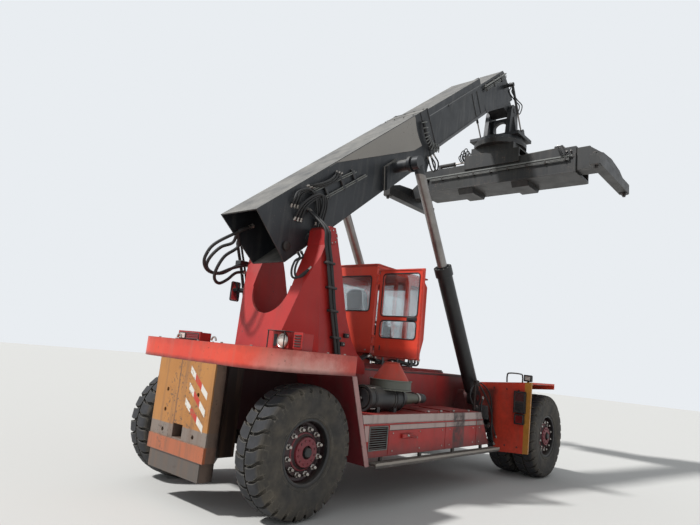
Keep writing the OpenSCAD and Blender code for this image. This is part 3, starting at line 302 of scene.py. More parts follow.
def moulded_rubber(name, axle_x):
    """Carbon-black rubber from a mould: near black and matt on the lugs, with brown dust in the grooves and on
    the sidewall, pale rubs along the lugs' edges, and the mould's fine rings round the axle."""
    material, tree = new_tree(name)
    hub = add(tree, "VectorMath", operation="SUBTRACT", i0=add(tree, "TexCoord", "Object"),
              i1=(axle_x, 0.0, AXLE_Z))
    flat = add(tree, "VectorMath", operation="MULTIPLY", i0=hub, i1=(1.0, 0.0, 1.0))
    radius = add(tree, "VectorMath", "Value", operation="LENGTH", i0=flat)
    groove = add(tree, "MapRange", clamp=True, From_Min=TYRE_R - 0.012, From_Max=TYRE_R - 0.032, Value=radius)
    rubbed = add(tree, "Math", **TIMES, i0=edges(tree), i1=blotches(tree, LUG_RUBS, 5.0, between=(0.35, 0.6)))
    patches = blotches(tree, RUBBER_PATCHES, 6.0, 0.65, between=(0.3, 0.7))
    muddy = add(tree, "Math", **TIMES, i0=groove, i1=blotches(tree, MUD, 5.0, between=(0.15, 0.7)))
    clean = coat(tree, "#242526", "#37373A", patches)
    dusty = coat(tree, "#3A3733", "#5A5348", patches)
    colour = coat(tree, coat(tree, clean, dusty, muddy), "#8E8779", rubbed, 0.55)
    turned = add(tree, "Math", operation="MULTIPLY", i0=radius, i1=SIDEWALL_RINGS)
    rings = add(tree, "Math", **TIMES, i0=add(tree, "Math", operation="SINE", i0=turned), i1=0.12)
    height = add(tree, "Math", **PLUS, i0=rings, i1=blotches(tree, SCUFFS))
    surface(tree, Base_Color=colour, Roughness=0.85,
            Normal=add(tree, "Bump", Strength=0.4, Distance=0.003, Height=height))
    return material


def float_glass(name):
    """Clear float glass behind years of washing: a sharp reflection that dust dulls in clouds."""
    material, tree = new_tree(name)
    film = add(tree, "Math", **TIMES, i0=blotches(tree, PLATE_WAVES, 6.0, 0.65, between=(0.35, 0.75)), i1=0.25)
    surface(tree, Base_Color="#C4CFD2", Transmission_Weight=1.0, IOR=1.45, Alpha=0.45,
            Roughness=add(tree, "Math", **PLUS, i0=film, i1=0.03))
    return material


# Fresh paint, faded paint, what a chip bares, and dust, which on the charcoal's tops is also a painted
# highlight
RED = ("#9C1A1A", "#B02620", "#43231F", "#63392F")
ORANGE = ("#CB3A28", "#DA4C34", "#552A24", "#A0705F")
CHARCOAL = ("#1F2226", "#282B2F", "#554A42", "#8A8781")
OFF_WHITE = "#B3A8A2"
# near black: soot from the exhaust, and painted shade low on the frame, the tanks and the mudguards
SOOT_AND_SHADE = "#1D1818"

# Enamels. Each row says what sets it apart to the eye.
ENAMELS = {
    # deep red of the tower, under clean rain runs
    "red": ("red_enamel", *RED, {"streaks": 0.35}),
    # the same with a black band under the top flange, a painted shadow of the flange, and painted shade low
    # down and at the front
    "frame": ("red_enamel_with_painted_shade", *RED, {"streaks": 0.45, "zones": [
        # black band under the top flange: painted shadow
        ("#1C1A1B", 0.9, 0.01, 0.002, [("z", 1.934, 1.969), ("w", 0.702, None)]),
        # darker low down and at the front: painted shade
        (SOOT_AND_SHADE, 0.75, 0.5, 0.2, [("z", None, 1.25)]),
        (SOOT_AND_SHADE, 0.45, 0.4, 0.3, [("z", None, 1.7)]),
        (SOOT_AND_SHADE, 0.7, 0.5, 0.2, [("x", 4.75, None)])]}),
    # nearly black with road grime and painted shade of the wheel well, matt
    "wheel_well": ("grime_and_painted_shade_on_red_enamel", "#33191B", "#41201F", "#241A18", "#3F332D",
                   {"dusty": 0.4, "gloss": 0.6, "streaks": 0.6}),
    # a pale band along the tank's upper edge, and painted shade low down
    "box_left": ("tank_red_enamel", *RED, {"streaks": 0.5, "zones": [
        (OFF_WHITE, 0.85, 0.012, 0.002, [("z", 1.2, 1.33), ("w", 1.59, None)]),
        # darker low down: painted shade
        (SOOT_AND_SHADE, 0.5, 0.3, 0.1, [("z", None, 0.86)])]}),
    # pale bands, a grey grille frame, painted shade low down, and soot where the exhaust and the wheel blow on
    # it
    "box_right": ("banded_red_enamel", *RED, {"streaks": 0.5, "zones": [
        (OFF_WHITE, 0.9, 0.012, 0.002, [("z", 1.202, 1.33), ("w", 1.59, None)]),
        (OFF_WHITE, 0.85, 0.016, 0.002, [("z", 1.095, 1.178), ("x", 1.64, None), ("w", 1.59, None)]),
        (OFF_WHITE, 0.7, 0.02, 0.002, [("x", 1.04, 1.15), ("z", 0.95, 1.18), ("w", 1.59, None)]),
        ("#5F6663", 0.95, 0.0, 0.002, [("x", 1.168, 1.602), ("z", 0.828, 1.152), ("w", 1.56, None)]),
        # darker low down: painted shade
        (SOOT_AND_SHADE, 0.5, 0.3, 0.1, [("z", None, 0.84)]),
        (SOOT_AND_SHADE, 0.9, 0.12, 0.02, [("x", 3.57, 3.97), ("w", 1.59, None)]),
        (SOOT_AND_SHADE, 0.8, 0.25, 0.06, [("x", 4.4, None), ("w", 1.59, None)])]}),
    # dull red with a bleached outer edge
    "guard_panel": ("guard_red_enamel", "#6E1F26", "#7F282C", "#3A2422", "#5E463F", {"streaks": 0.6, "zones": [
        ("#B58E8A", 0.8, 0.03, 0.004, [("w", 1.586, None)])]}),
    # chalked to orange by the sun
    "orange": ("sun_faded_red_enamel", *ORANGE, {"streaks": 0.3}),
    # the same, with a pale patch low on the rear bend, and a dark lower lip of painted shade
    "deck": ("sun_faded_deck_enamel", *ORANGE, {"streaks": 0.35, "zones": [
        ("#E0B3A8", 0.8, 0.3, 0.16, [("x", -0.8, 0.35), ("z", None, 2.07), ("w", 1.2, None)]),
        ("#B4504A", 0.7, 0.3, 0.2, [("x", 0.2, None), ("w", 1.6, None)]),
        # darker lower lip: painted shade
        ("#5A2625", 0.8, 0.06, 0.025, [("z", None, 1.905)]),
        ("#6C2A28", 0.55, 0.3, 0.1, [("z", 2.14, None)])]}),
    # bright orange-red, kept cleaner than the rest
    "cab": ("cab_enamel", "#CE3623", "#DC4730", "#552A24", "#95604F", {"streaks": 0.25, "zones": [
        ("#8A2B24", 0.6, 0.1, 0.05, [("z", None, 2.32)])]}),
    # bright orange-red with an amber stripe, and painted shade on its inner walls and low down ahead of its
    # rear panel
    "front_guard": ("mudguard_enamel", "#D33C28", "#DE4C34", "#552A24", "#A0705F", {"streaks": 0.25, "zones": [
        ("#C48A35", 0.95, 0.02, 0.004, [("w", 1.985, None), ("x", None, 5.76)]),
        # inner walls and lower body darkened: painted shade
        (SOOT_AND_SHADE, 0.8, 0.25, 0.06, [("w", None, 1.36), ("z", None, 1.78)]),
        (SOOT_AND_SHADE, 0.85, 0.2, 0.1, [("x", 5.765, None), ("z", None, 1.8)])]}),
    # blue-black, grey on top with dust and a painted highlight of sunlight
    "charcoal": ("charcoal_enamel", *CHARCOAL, {"dusty": 0.85, "streaks": 0.25}),
    # the same with a pale grey triangle on each cheek, a painted highlight of a sunlit facet, and a darker
    # collar of painted shade
    "outer_boom": ("boom_charcoal_enamel", *CHARCOAL, {"dusty": 0.9, "streaks": 0.2, "zones": [
        # pale triangle on each cheek: painted highlight
        ("#928D86", 0.97, 0.0, 0.0006, [("w", 0.437, 0.46), ("s", 1.0, 3.995), ("n", None, 0.872)]),
        # darker collar: painted shade
        ("#17191C", 0.8, 0.0, 0.01, [("s", 3.99, 4.57), ("n", None, 0.87)])]}),
    # the same with two bands that the wear pads polish, and painted shade on the side between them
    "inner_boom": ("boom_extension_charcoal_enamel", *CHARCOAL, {"dusty": 0.85, "streaks": 0.2, "zones": [
        # darker side between the bands: painted shade of a recess
        ("#1D2023", 0.7, 0.0, 0.01, [("n", 0.04, 0.636)]),
        ("#7A7B7B", 0.8, 0.01, 0.002, [("n", 0.685, 0.705), ("w", 0.3, None)]),
        ("#5C5E60", 0.8, 0.02, 0.002, [("n", -0.03, 0.03), ("w", 0.33, None)])]}),
    # the darkest paint, chipped to brown all over
    "spreader": ("spreader_enamel", "#191B1E", "#25241F", "#5C4A3E", "#5F5952",
                 {"chips": 0.58, "dusty": 0.85, "streaks": 0.25}),
    # brushed ochre on cast iron, with bands of orange and grey below, and its sides darkened by dirt and
    # painted shade
    "ochre": ("ochre_enamel_on_casting", "#A66E33", "#B98245", "#4B4038", "#6B5240",
              {"chips": 0.56, "streaks": 0.75, "zones": [
                  ("#A65B3E", 0.9, 0.015, 0.003, [("z", 0.6, 0.822)]),
                  ("#77716C", 0.9, 0.03, 0.006, [("z", 0.822, 1.0)]),
                  ("#4E4C4A", 0.95, 0.02, 0.01, [("z", None, 0.622)]),
                  ("#5B4438", 0.8, 0.04, 0.01, [("y", 0.1, 0.125), ("z", 0.82, None)]),
                  # sides darker ahead of the rear face: dirt and painted shade
                  ("#6B5A50", 0.9, 0.03, 0.01, [("x", -0.965, None)]),
                  ("#241C1B", 0.92, 0.15, 0.06, [("x", -0.82, None)])]}),
    # tread plate under grey dust, its outer lip worn bright
    "running_board": ("dusty_tread_plate", "#3F3A36", "#57504A", "#2A2624", "#9A9187",
                      {"dusty": 0.9, "streaks": 0.3, "zones": [
                          ("#A39B90", 0.85, 0.02, 0.006, [("w", 1.697, None), ("z", 0.625, None)])]}),
    # black drum, olive-grey pan and orange cone
    "air_cleaner": ("air_cleaner_enamel", "#232426", "#2E2F30", "#4A4038", "#5F5A52",
                    {"streaks": 0.3, "zones": [
                        ("#5F6259", 0.9, 0.02, 0.004, [("z", 1.7, 1.831), ("w", None, 1.6)]),
                        ("#D24029", 1.0, 0.0, 0.003, [("z", 1.833, None)]),
                        ("#5B5F50", 0.8, 0.03, 0.01, [("x", 2.42, None), ("z", None, 1.68)])]}),
    # satin black
    "black": ("black_enamel", "#1A1B1D", "#232426", "#4A413A", "#5A5650", {"streaks": 0.2}),
    # red of the box's lids and handle
    "box_plain": ("box_door_enamel", *RED, {"streaks": 0.5}),
    # mid-grey primer, dull
    "grey_frame": ("grey_primer", "#6C6F6C", "#7B7D79", "#3E3A36", "#857F76", {"streaks": 0.3}),
    # zinc gone olive and matt
    "intake_grey": ("galvanised_pan", "#666A60", "#74766C", "#4A463E", "#85806F", {"streaks": 0.2}),
    # wine-brown rims and a brighter wine-red hub under brake dust
    "rim": ("rim_enamel", "#2C1D20", "#3D2427", "#252122", "#4F463E", {"streaks": 0.5}),
    "rim_red": ("hub_enamel", "#6A1F2A", "#7C2B33", "#2E2224", "#5A4640", {"streaks": 0.3}),
    # brushed road paint, chipped to the ochre under it
    "white_bar": ("white_road_enamel", "#D8D3CA", "#C9C1B4", "#8A6A45", "#9A8B78",
                  {"chips": 0.55, "streaks": 0.4}),
    "red_bar": ("red_road_enamel", "#B7301F", "#C43D28", "#8A6A45", "#7A5A48", {"chips": 0.55, "streaks": 0.4}),
}
# Finishes without paint. The grain of each is finer in life, and is drawn coarse enough to show.
EVEN_FINISHES = {
    # mill scale under a film of grease: dark with a slack shine, lumps of 33 mm
    "grease": ("greasy_steel", "#272322", "#3B342F", 0.55, 0.3, 30.0, 0.002),
    # ground and hard-chromed rod: a long grey reflection, honing marks of 17 mm
    "rod": ("hard_chrome", "#9A9693", "#77716C", 0.35, 0.75, 60.0, 0.0003),
    # the same with its eye painted black
    "lift_rod": ("hard_chrome_with_painted_eye", "#9A9693", "#77716C", 0.35, 0.75, 60.0, 0.0003,
                 ("#26282B", [("z", 5.6, None)])),
    # turned nuts and fittings: bright, tool marks of 12 mm
    "bright": ("bare_turned_steel", "#B8B3AE", "#8C857E", 0.32, 0.9, 80.0, 0.0003),
    # extruded hose cover: black with a soft sheen, cloth marks of 11 mm
    "hose": ("hose_rubber", "#17181A", "#2B2A29", 0.6, 0.0, 90.0, 0.0008),
    # extruded seal: dull black, 17 mm
    "seal": ("window_seal_rubber", "#141416", "#202022", 0.7, 0.0, 60.0, 0.0006),
    # woven seat cloth: flat and dark, threads of 4.5 mm
    "fabric": ("seat_cloth", "#1F2023", "#34353A", 0.9, 0.0, 220.0, 0.0006),
    # moulded acrylic lenses: glossy and deep in colour, prisms of 8 mm
    "dark_lens": ("smoked_lamp_acrylic", "#4A2528", "#5E3A38", 0.3, 0.0, 120.0, 0.0008),
    "red_lens": ("red_lamp_acrylic", "#7A1E20", "#642023", 0.25, 0.0, 120.0, 0.0008),
    # pressed lamp glass over its reflector: nearly white, flutes of 7 mm
    "lens": ("lamp_reflector_glass", "#E9E6DE", "#D7D2C6", 0.12, 0.2, 150.0, 0.0006),
    # silvered glass: the sky's own colour
    "mirror": ("silvered_mirror", "#B9BEC2", "#A9AEB2", 0.06, 1.0, 40.0, 0.0001),
}
MATERIALS = {}


def make_materials():
    for key, (*look, options) in ENAMELS.items():
        MATERIALS[key] = sprayed_enamel(*look, **options)
    for key, look in EVEN_FINISHES.items():
        MATERIALS[key] = even_finish(*look)
    MATERIALS["tyre_rear"] = moulded_rubber("tyre_rubber_rear", AXLE_X)
    MATERIALS["tyre_front"] = moulded_rubber("tyre_rubber_front", FRONT_X)
    MATERIALS["glass"] = float_glass("cab_glass")


# Nodes of the frame by their finish
NODES_OF = {
    "frame": ["main_frame", "cab_rails"], "wheel_well": ["frame_tail"], "red": ["tower", "deck_lamps"],
    "deck": ["rear_deck"], "ochre": ["counterweight"], "guard_panel": ["wheel_guards"],
    "box_left": ["side_box_left"], "box_right": ["side_box_right"], "running_board": ["running_boards"],
    "air_cleaner": ["air_cleaner"],
    "grease": ["engine_block", "steer_axle", "drive_axle", "knuckle_left", "knuckle_right"],
    "front_guard": ["front_mudguards"], "cab": ["cab_shell", "cab_door"], "glass": ["cab_glass", "door_glass"],
    "outer_boom": ["boom_outer"], "inner_boom": ["boom_inner"], "charcoal": ["boom_nose", "head_yoke"],
    "spreader": ["rotator", "spreader_frame", "spreader_arm_left", "spreader_arm_right"],
    "black": ["lamp_boxes", "lift_barrel_left", "lift_barrel_right", "damper_barrel_left",
              "damper_barrel_right"],
    "lift_rod": ["lift_rod_left", "lift_rod_right"], "rod": ["damper_rod_left", "damper_rod_right"],
    "rim": ["rear_rim_left", "rear_rim_right", "front_rims_left", "front_rims_right"],
}


def dress_nodes():
    for finish, nodes in NODES_OF.items():
        for node in nodes:
            mesh = frame["nodes"][node].data
            mesh.materials.clear()
            mesh.materials.append(MATERIALS[finish])


# Mesh helpers


class Shape:
    """Gathers the faces of one piece, in metres in the frame. Each part of it names its finish by number."""

    def __init__(self):
        self.mesh = bmesh.new()

    def face(self, verts, finish):
        self.mesh.faces.new(verts).material_index = finish

    def box(self, low, high, finish, chamfer, turn=None):
        """A box between two corners with chamfered edges. turn is a matrix about its middle."""
        low, high = Vector(low), Vector(high)
        middle, half = (low + high) / 2, (high - low) / 2
        c = min([chamfer] + [abs(h) * 0.45 for h in half])
        matrix = Matrix.Translation(middle) @ (turn.to_4x4() if turn else Matrix.Identity(4))
        signs = list(itertools.product((-1, 1), repeat=3))
        verts = {}
        for sign in signs:
            for side in range(3):
                inset = Vector([0.0 if k == side else c for k in range(3)])
                point = Vector([sign[k] * (half[k] - inset[k]) for k in range(3)])
                verts[sign, side] = self.mesh.verts.new(matrix @ point)

        def corner(axis, s, su, sv, side):
            """The vertex of one corner that lies on a side. s, su and sv count from the axis on."""
            sign = [0, 0, 0]
            sign[axis], sign[(axis + 1) % 3], sign[(axis + 2) % 3] = s, su, sv
            return verts[tuple(sign), side]

        for axis in range(3):
            for s in (-1, 1):
                self.face([corner(axis, s, su, sv, axis) for su, sv in ((-1, -1), (1, -1), (1, 1), (-1, 1))],
                          finish)
        for axis in range(3):
            u, v = (axis + 1) % 3, (axis + 2) % 3
            for su, sv in itertools.product((-1, 1), repeat=2):
                self.face([corner(axis, s, su, sv, side) for s, side in ((-1, u), (1, u), (1, v), (-1, v))],
                          finish)
        for sign in signs:
            self.face([verts[sign, side] for side in range(3)], finish)

    def rings(self, rings, finish=0, caps=True):
        """Skin a list of closed rings, each with as many points."""
        count = len(rings[0])
        verts = [[self.mesh.verts.new(p) for p in ring] for ring in rings]
        for first, second in zip(verts, verts[1:]):
            for i in range(count):
                j = (i + 1) % count
                self.face((first[i], first[j], second[j], second[i]), finish)
        if caps:
            self.face(verts[0], finish)
            self.face(verts[-1], finish)

    def tube(self, path, radius, sides=10, finish=0):
        """A round tube along a path. radius is one value, or one for each point."""
        path = [Vector(p) for p in path]
        closed = (path[0] - path[-1]).length < 1e-6
        if closed:
            path = [path[-2]] + path + [path[1]]
        side = None
        rings = []
        for i, point in enumerate(path):
            along = (path[min(i + 1, len(path) - 1)] - path[max(i - 1, 0)]).normalized()
            if side is None:
                side = square_to(along)
            side = (side - along * side.dot(along)).normalized()
            up = along.cross(side)
            r = radius[i] if isinstance(radius, (list, tuple)) else radius
            rings.append([point + (side * math.cos(a) + up * math.sin(a)) * r for a in turns(sides)])
        if closed:
            rings = rings[1:-2] + [rings[1]]
        self.rings(rings, finish, not closed)

    def spin(self, profile, middle, axis, steps=48, finish=0, closed=False):
        """Turn a profile of (radius, along) round an axis through middle."""
        axis = Vector(axis).normalized()
        side = square_to(axis)
        up = axis.cross(side)
        verts = []
        for a in turns(steps):
            out = side * math.cos(a) + up * math.sin(a)
            verts.append([self.mesh.verts.new(Vector(middle) + out * r + axis * h) for r, h in profile])
        count = len(profile)
        for k in range(steps):
            first, second = verts[k], verts[(k + 1) % steps]
            for i in range(count if closed else count - 1):
                j = (i + 1) % count
                self.face((first[i], first[j], second[j], second[i]), finish)
        if not closed:
            for i in (0, count - 1):
                self.face([ring[i] for ring in verts], finish)

    def bolts(self, places, axis, radius, height, finish=0):
        """Hexagon heads, each with its flats eased."""
        for point in places:
            self.spin([(radius, 0), (radius, height * 0.8), (radius * 0.8, height)], point, axis, 6, finish)

    def bar(self, start, end, radius, finish=0, sides=16):
        self.tube([start, end], radius, sides, finish)

    def hose(self, points, radius, steps=7, finish=0, fitting=1):
        """A hose between two places, with a crimped ferrule and its nut at each end."""
        path = smooth_path(points, steps)
        self.tube(path, radius, 10, finish)
        for tip, inward in ((path[0], path[1]), (path[-1], path[-2])):
            along = (inward - tip).normalized()
            self.bar(tip, tip + along * radius * 3.2, radius * 1.25, fitting, 12)
            self.bolts([tip - along * radius * 0.2], along, radius * 1.5, radius * 1.1, fitting)

    def place(self, name, finishes, body, slot=None, angle=35.0):
        """Make the piece. It rides on a body, or stays in place on no body if body is (first, second, start,
        end).
        """
        bmesh.ops.remove_doubles(self.mesh, verts=self.mesh.verts, dist=1e-6)
        bmesh.ops.recalc_face_normals(self.mesh, faces=self.mesh.faces)
        mesh = bpy.data.meshes.new(name)
        self.mesh.to_mesh(mesh)
        self.mesh.free()
        for key in finishes:
            mesh.materials.append(MATERIALS[key])
        for polygon in mesh.polygons:
            polygon.use_smooth = True
        mesh.set_sharp_from_angle(angle=math.radians(angle))
        piece = bpy.data.objects.new(name, mesh)
        bpy.context.collection.objects.link(piece)
        if isinstance(body, tuple):
            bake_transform(piece)
        else:
            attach(piece, body)
        return piece


def square_to(axis):
    """A direction square to an axis."""
    return axis.cross(UP if abs(axis.z) < 0.9 else AHEAD).normalized()


def smooth_path(points, steps):
    """A round curve through given points."""
    points = [Vector(p) for p in points]
    padded = [points[0] * 2 - points[1]] + points + [points[-1] * 2 - points[-2]]
    path = []
    for i in range(1, len(padded) - 2):
        a, b, c, d = padded[i - 1:i + 3]
        for k in range(steps):
            t = k / steps
            path.append(0.5 * (2 * b + (c - a) * t + (2 * a - 5 * b + 4 * c - d) * t ** 2
                               + (3 * b - a - 3 * c + d) * t ** 3))
    path.append(points[-1])
    return path


def rounded(middle, right, up, half_w, half_h, radius, steps=4):
    """A closed path round a rectangle with rounded corners."""
    path = []
    for corner, (sx, sy) in enumerate(((1, 1), (-1, 1), (-1, -1), (1, -1))):
        for k in range(steps + 1):
            a = math.pi / 2 * (corner + k / steps)
            path.append(middle + right * (sx * (half_w - radius) + radius * math.cos(a))
                        + up * (sy * (half_h - radius) + radius * math.sin(a)))
    return path + [path[0].copy()]


# Wheels

TYRE_WIDTH = 0.5
RIM_R = 0.415
LUGS = 28
GROOVE_DEPTH = 0.052
LUG_SHARE = 0.83 # of the pitch, at the middle of the tread
LUG_TAPER = 0.27 # of the pitch, lost towards the shoulder
LUG_LEAN = 0.42 # of the pitch, from the middle to the shoulder
LUG_WAVE = 0.09 # of the pitch, how far the flanks wander
LUG_ROOT = 0.012 # how far a lug is sunk in the carcass
CARCASS_STEPS = 112
# The tyre's outline from the crown to the bead: share of the half width, and radius below the crown
CROWN = [(0.06, 0.0), (0.25, 0.0), (0.5, 0.003), (0.7, 0.01), (0.82, 0.022), (0.91, 0.045), (0.96, 0.08),
         (0.975, 0.12)]
SIDEWALL = [(1.0, 0.17), (0.995, 0.23), (0.965, 0.3), (0.92, 0.35), (0.9, 0.375), (0.93, 0.39), (0.92, 0.41),
            (0.83, 0.432), (0.78, 0.445)]


def tyre(shape, middle, axle_sign):
    """A bias tyre for rough ground: two staggered rows of broad lugs with wavy flanks round a carcass."""
    half = TYRE_WIDTH / 2
    floor = []
    for share, drop in CROWN:
        sink = GROOVE_DEPTH * min(1.0, max(0.3, (1.0 - share) / 0.1))
        floor.append((share * 0.985, drop + sink))
    outline = [(-s, d) for s, d in reversed(floor + SIDEWALL)] + floor + SIDEWALL
    profile = [(TYRE_R - d, s * half) for s, d in outline]
    bead = [(RIM_R - 0.01, 0.7 * half), (RIM_R - 0.01, -0.7 * half)]
    shape.spin(profile + bead, middle, LEFT, CARCASS_STEPS, closed=True)
    pitch = 2 * math.pi / LUGS
    for row in (-1, 1):
        for k in range(LUGS):
            start = pitch * (k + max(0, row) / 2) # the rows are staggered
            rings = []
            for i, (share, drop) in enumerate(CROWN):
                t = i / (len(CROWN) - 1)
                lean = LUG_LEAN * pitch * (t - 0.5) * axle_sign
                wave = LUG_WAVE * pitch * math.sin(2 * math.pi * 1.2 * t)
                width = pitch * (LUG_SHARE - LUG_TAPER * t * t) / 2
                top = TYRE_R - drop
                base = top - GROOVE_DEPTH - LUG_ROOT
                ring = []
                for angle, radius in ((-width * 1.06, base), (-width, top - 0.006), (-width * 0.94, top),
                                      (width * 0.94, top), (width, top - 0.006), (width * 1.06, base)):
                    a = start + lean + wave + angle
                    ring.append(Vector(middle) + Vector((math.cos(a) * radius, row * share * half,
                                                         math.sin(a) * radius)))
                rings.append(ring)
            shape.rings(rings)


# Each tyre node with its body and its rubber
WHEELS = {
    "rear_tyre_left": ("rear_wheel_left", "tyre_rear"),
    "rear_tyre_right": ("rear_wheel_right", "tyre_rear"),
    "front_tyres_left": ("front_wheels_left", "tyre_front"),
    "front_tyres_right": ("front_wheels_right", "tyre_front"),
}


def make_tyres():
    for node, (body, finish) in WHEELS.items():
        low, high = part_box(node)
        twin = node.startswith("front")
        sign = 1 if low[1] > 0 else -1
        x, z = (low[0] + high[0]) / 2, (low[2] + high[2]) / 2
        shape = Shape()
        middles = [low[1] + TYRE_WIDTH / 2, high[1] - TYRE_WIDTH / 2] if twin else [(low[1] + high[1]) / 2]
        for y in middles:
            tyre(shape, (x, y, z), sign)
        piece = shape.place(node.replace("tyre", "lugged_tyre"), [finish], body, "tyre_rubber", 28.0)
        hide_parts(node)


# Wheel centres

NUT_COUNT = 12
NUT_CIRCLE = 0.292
DISH_OUT = 0.085 # from the middle of the tyre to the dish
HUB_REACH = 0.115 # from the dish to the hub's face
HUB_BOLT_CIRCLE = 0.15


def wheel_centre(shape, middle, out):
    """The dished centre with its lock ring, nuts and hub cap. out is 1 or -1 along Y."""
    axis = LEFT * out
    reach = HUB_REACH
    shape.spin([(0.398, -0.03), (0.398, 0.0), (0.37, 0.012), (0.335, 0.004), (0.32, 0.03), (0.25, 0.045),
                (0.225, 0.06), (0.205, 0.095), (0.205, -0.03)], middle, axis, 48, 0)
    # lock ring and flange at the bead, where the tyre's side meets the rim
    edge = TYRE_WIDTH * 0.4 - DISH_OUT
    shape.spin([(0.392, edge - 0.05), (0.392, edge + 0.004), (0.402, edge + 0.014), (0.428, edge + 0.014),
                (0.434, edge + 0.006), (0.434, edge - 0.012), (0.414, edge - 0.02), (0.414, edge - 0.05)],
               middle, axis, 64, 1, closed=True)
    # wine-red flange that steps up to the hub, and its dark cap
    shape.spin([(0.245, 0.02), (0.245, 0.052), (0.232, 0.062), (0.2, 0.066), (0.188, reach),
                (0.1, reach + 0.012), (0.085, reach + 0.012), (0.085, 0.02)], middle, axis, 40, 2)
    shape.spin([(0.062, reach), (0.062, reach + 0.035), (0.05, reach + 0.047)], middle, axis, 24, 1)
    for angle in turns(NUT_COUNT, 0.5):
        out_by = Vector((math.cos(angle), 0, math.sin(angle)))
        nut = middle + axis * 0.026 + out_by * NUT_CIRCLE
        shape.bolts([nut], axis, 0.042, 0.04, 3)
        shape.spin([(0.024, 0.036), (0.024, 0.078), (0.016, 0.088)], nut, axis, 12, 3)
        shape.bolts([middle + axis * (reach + 0.004) + out_by * HUB_BOLT_CIRCLE], axis, 0.014, 0.012, 2)


def make_wheel_centres():
    for node, (body, _) in WHEELS.items():
        low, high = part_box(node)
        out = 1 if low[1] > 0 else -1
        outer = high[1] if out > 0 else low[1]
        dish = outer - out * (TYRE_WIDTH / 2 - DISH_OUT)
        middle = Vector(((low[0] + high[0]) / 2, dish, (low[2] + high[2]) / 2))
        shape = Shape()
        wheel_centre(shape, middle, out)
        name = node.replace("tyre", "wheel_centre")
        shape.place(name, ["rim", "black", "rim_red", "bright"], body, "red_paint")


# Counterweight and rear deck

BAR_WIDTH = 0.075
BAR_SLANT = 0.62 # half a bar's height on the face, as a share of its width
REAR_FACE = -0.9858
COAT_OF_PAINT = 0.002
# Where white, red and white start and end along a bar
BAR_COLOURS = [(0.0, 0.3, 0), (0.3, 0.66, 1), (0.66, 1.0, 0)]
# Upper and lower end of each road bar on the rear face, as (y, z)
ROAD_BARS = [((-0.125, 1.765), (-0.567, 1.445)), ((-0.14, 1.545), (-0.565, 1.225)),
             ((-0.095, 1.335), (-0.56, 1.03))]


def make_road_bars():
    """Three painted bars, each white, red and white, a coat of paint proud of the casting."""
    shape = Shape()
    for top, foot in ROAD_BARS:
        for near, far, colour in BAR_COLOURS:
            ring = []
            for share, up in ((near, 1), (far, 1), (far, -1), (near, -1)):
                y = top[0] + (foot[0] - top[0]) * share
                z = top[1] + (foot[1] - top[1]) * share
                ring.append((y, z + up * BAR_WIDTH * BAR_SLANT))
            faces = (REAR_FACE + COAT_OF_PAINT, REAR_FACE)
            shape.rings([[place(x, y, z) for y, z in ring] for x in faces], colour)
    shape.place("road_bars", ["white_bar", "red_bar"], "chassis", "ochre_casting")


RIB_PITCH = 0.03


def lamp_unit(shape, middle, size, lens):
    """A ribbed lens with a raised rim, on the rear face of its housing."""
    wide = UP.cross(-AHEAD)
    half_w, half_h = size[0] / 2, size[1] / 2
    shape.tube(rounded(middle, wide, UP, half_w, half_h, 0.015), 0.009, 8, 0)
    ribs = max(2, int(size[1] / RIB_PITCH))
    for k in range(ribs):
        z = -half_h + size[1] * (k + 0.5) / ribs
        ring = [(-half_w, 0.0), (-half_w, 0.006), (half_w, 0.006), (half_w, 0.0)]
        rise = size[1] / ribs * 0.42
        shape.rings([[middle + wide * u - AHEAD * v * share + UP * (z + dz) for u, v in ring]
                     for dz, share in ((-rise, 0.4), (0.0, 1.0), (rise, 0.4))], lens)


DECK_TOP = 2.15
LAMP_FACE = -0.397 # of the boxes on the deck


def make_deck_trim():
    shape = Shape()
    back = -AHEAD
    # work lamp: a bowl with its chromed ring and glass
    lamp = place(LAMP_FACE, -1.235, 2.262)
    shape.spin([(0.098, -0.02), (0.104, 0.012), (0.094, 0.022), (0.086, 0.016)], lamp, back, 28, 1)
    shape.spin([(0.088, 0.004), (0.07, 0.022), (0.03, 0.03)], lamp, back, 28, 2)
    shape.box(place(-0.4, -1.12, 2.18), place(-0.384, -1.05, 2.34), 0, 0.006)
    # louvres of the small box beside it
    for k in range(5):
        z = 2.195 + 0.034 * k
        shape.box(place(-0.41, -1.575, z), place(-0.39, -1.455, z + 0.014), 0, 0.003)
    lamp_unit(shape, place(LAMP_FACE, 0.86, 2.215), (0.34, 0.09), 3)
    lamp_unit(shape, place(LAMP_FACE, 1.14, 2.215), (0.16, 0.09), 2)
    # hood over the work lamp on its two posts
    shape.box(place(-0.5, -1.36, 2.378), place(-0.3, -1.02, 2.388), 0, 0.003)
    for y in (-1.355, -1.035):
        shape.box(place(-0.49, y, 2.148), place(-0.475, y + 0.015, 2.38), 0, 0.003)
    # bolts along the deck's edge
    for y in (-1.1, -0.55, 0.0, 0.55, 1.1):
        shape.bolts([place(-0.86 + 0.28 * max(0, abs(y) - 0.9), y, DECK_TOP)], UP, 0.018, 0.014, 1)
    for side in (-1, 1):
        for x in (-0.2, 0.15, 0.5):
            shape.bolts([place(x, side * 1.56, DECK_TOP)], UP, 0.018, 0.014, 1)
    # lifting eye rings on the counterweight's shoulders
    for y in (-0.42, 0.42):
        ring = [place(-0.9, y + 0.05 * math.cos(a), 2.17 + 0.05 * math.sin(a))
                for a in (math.pi * k / 8 for k in range(9))]
        shape.tube(ring, 0.013, 8, 1)
    shape.place("deck_trim", ["black", "bright", "lens", "red_lens"], "chassis", "dark_paint")


# Boxes along the sides, steps and the air cleaner

BOX_FACE = 1.598 # of the side boxes, from the middle
TREAD_TOP = 0.6505
TREAD_PITCH = 0.055
TREAD_REAR, TREAD_FRONT = 1.3, 5.15


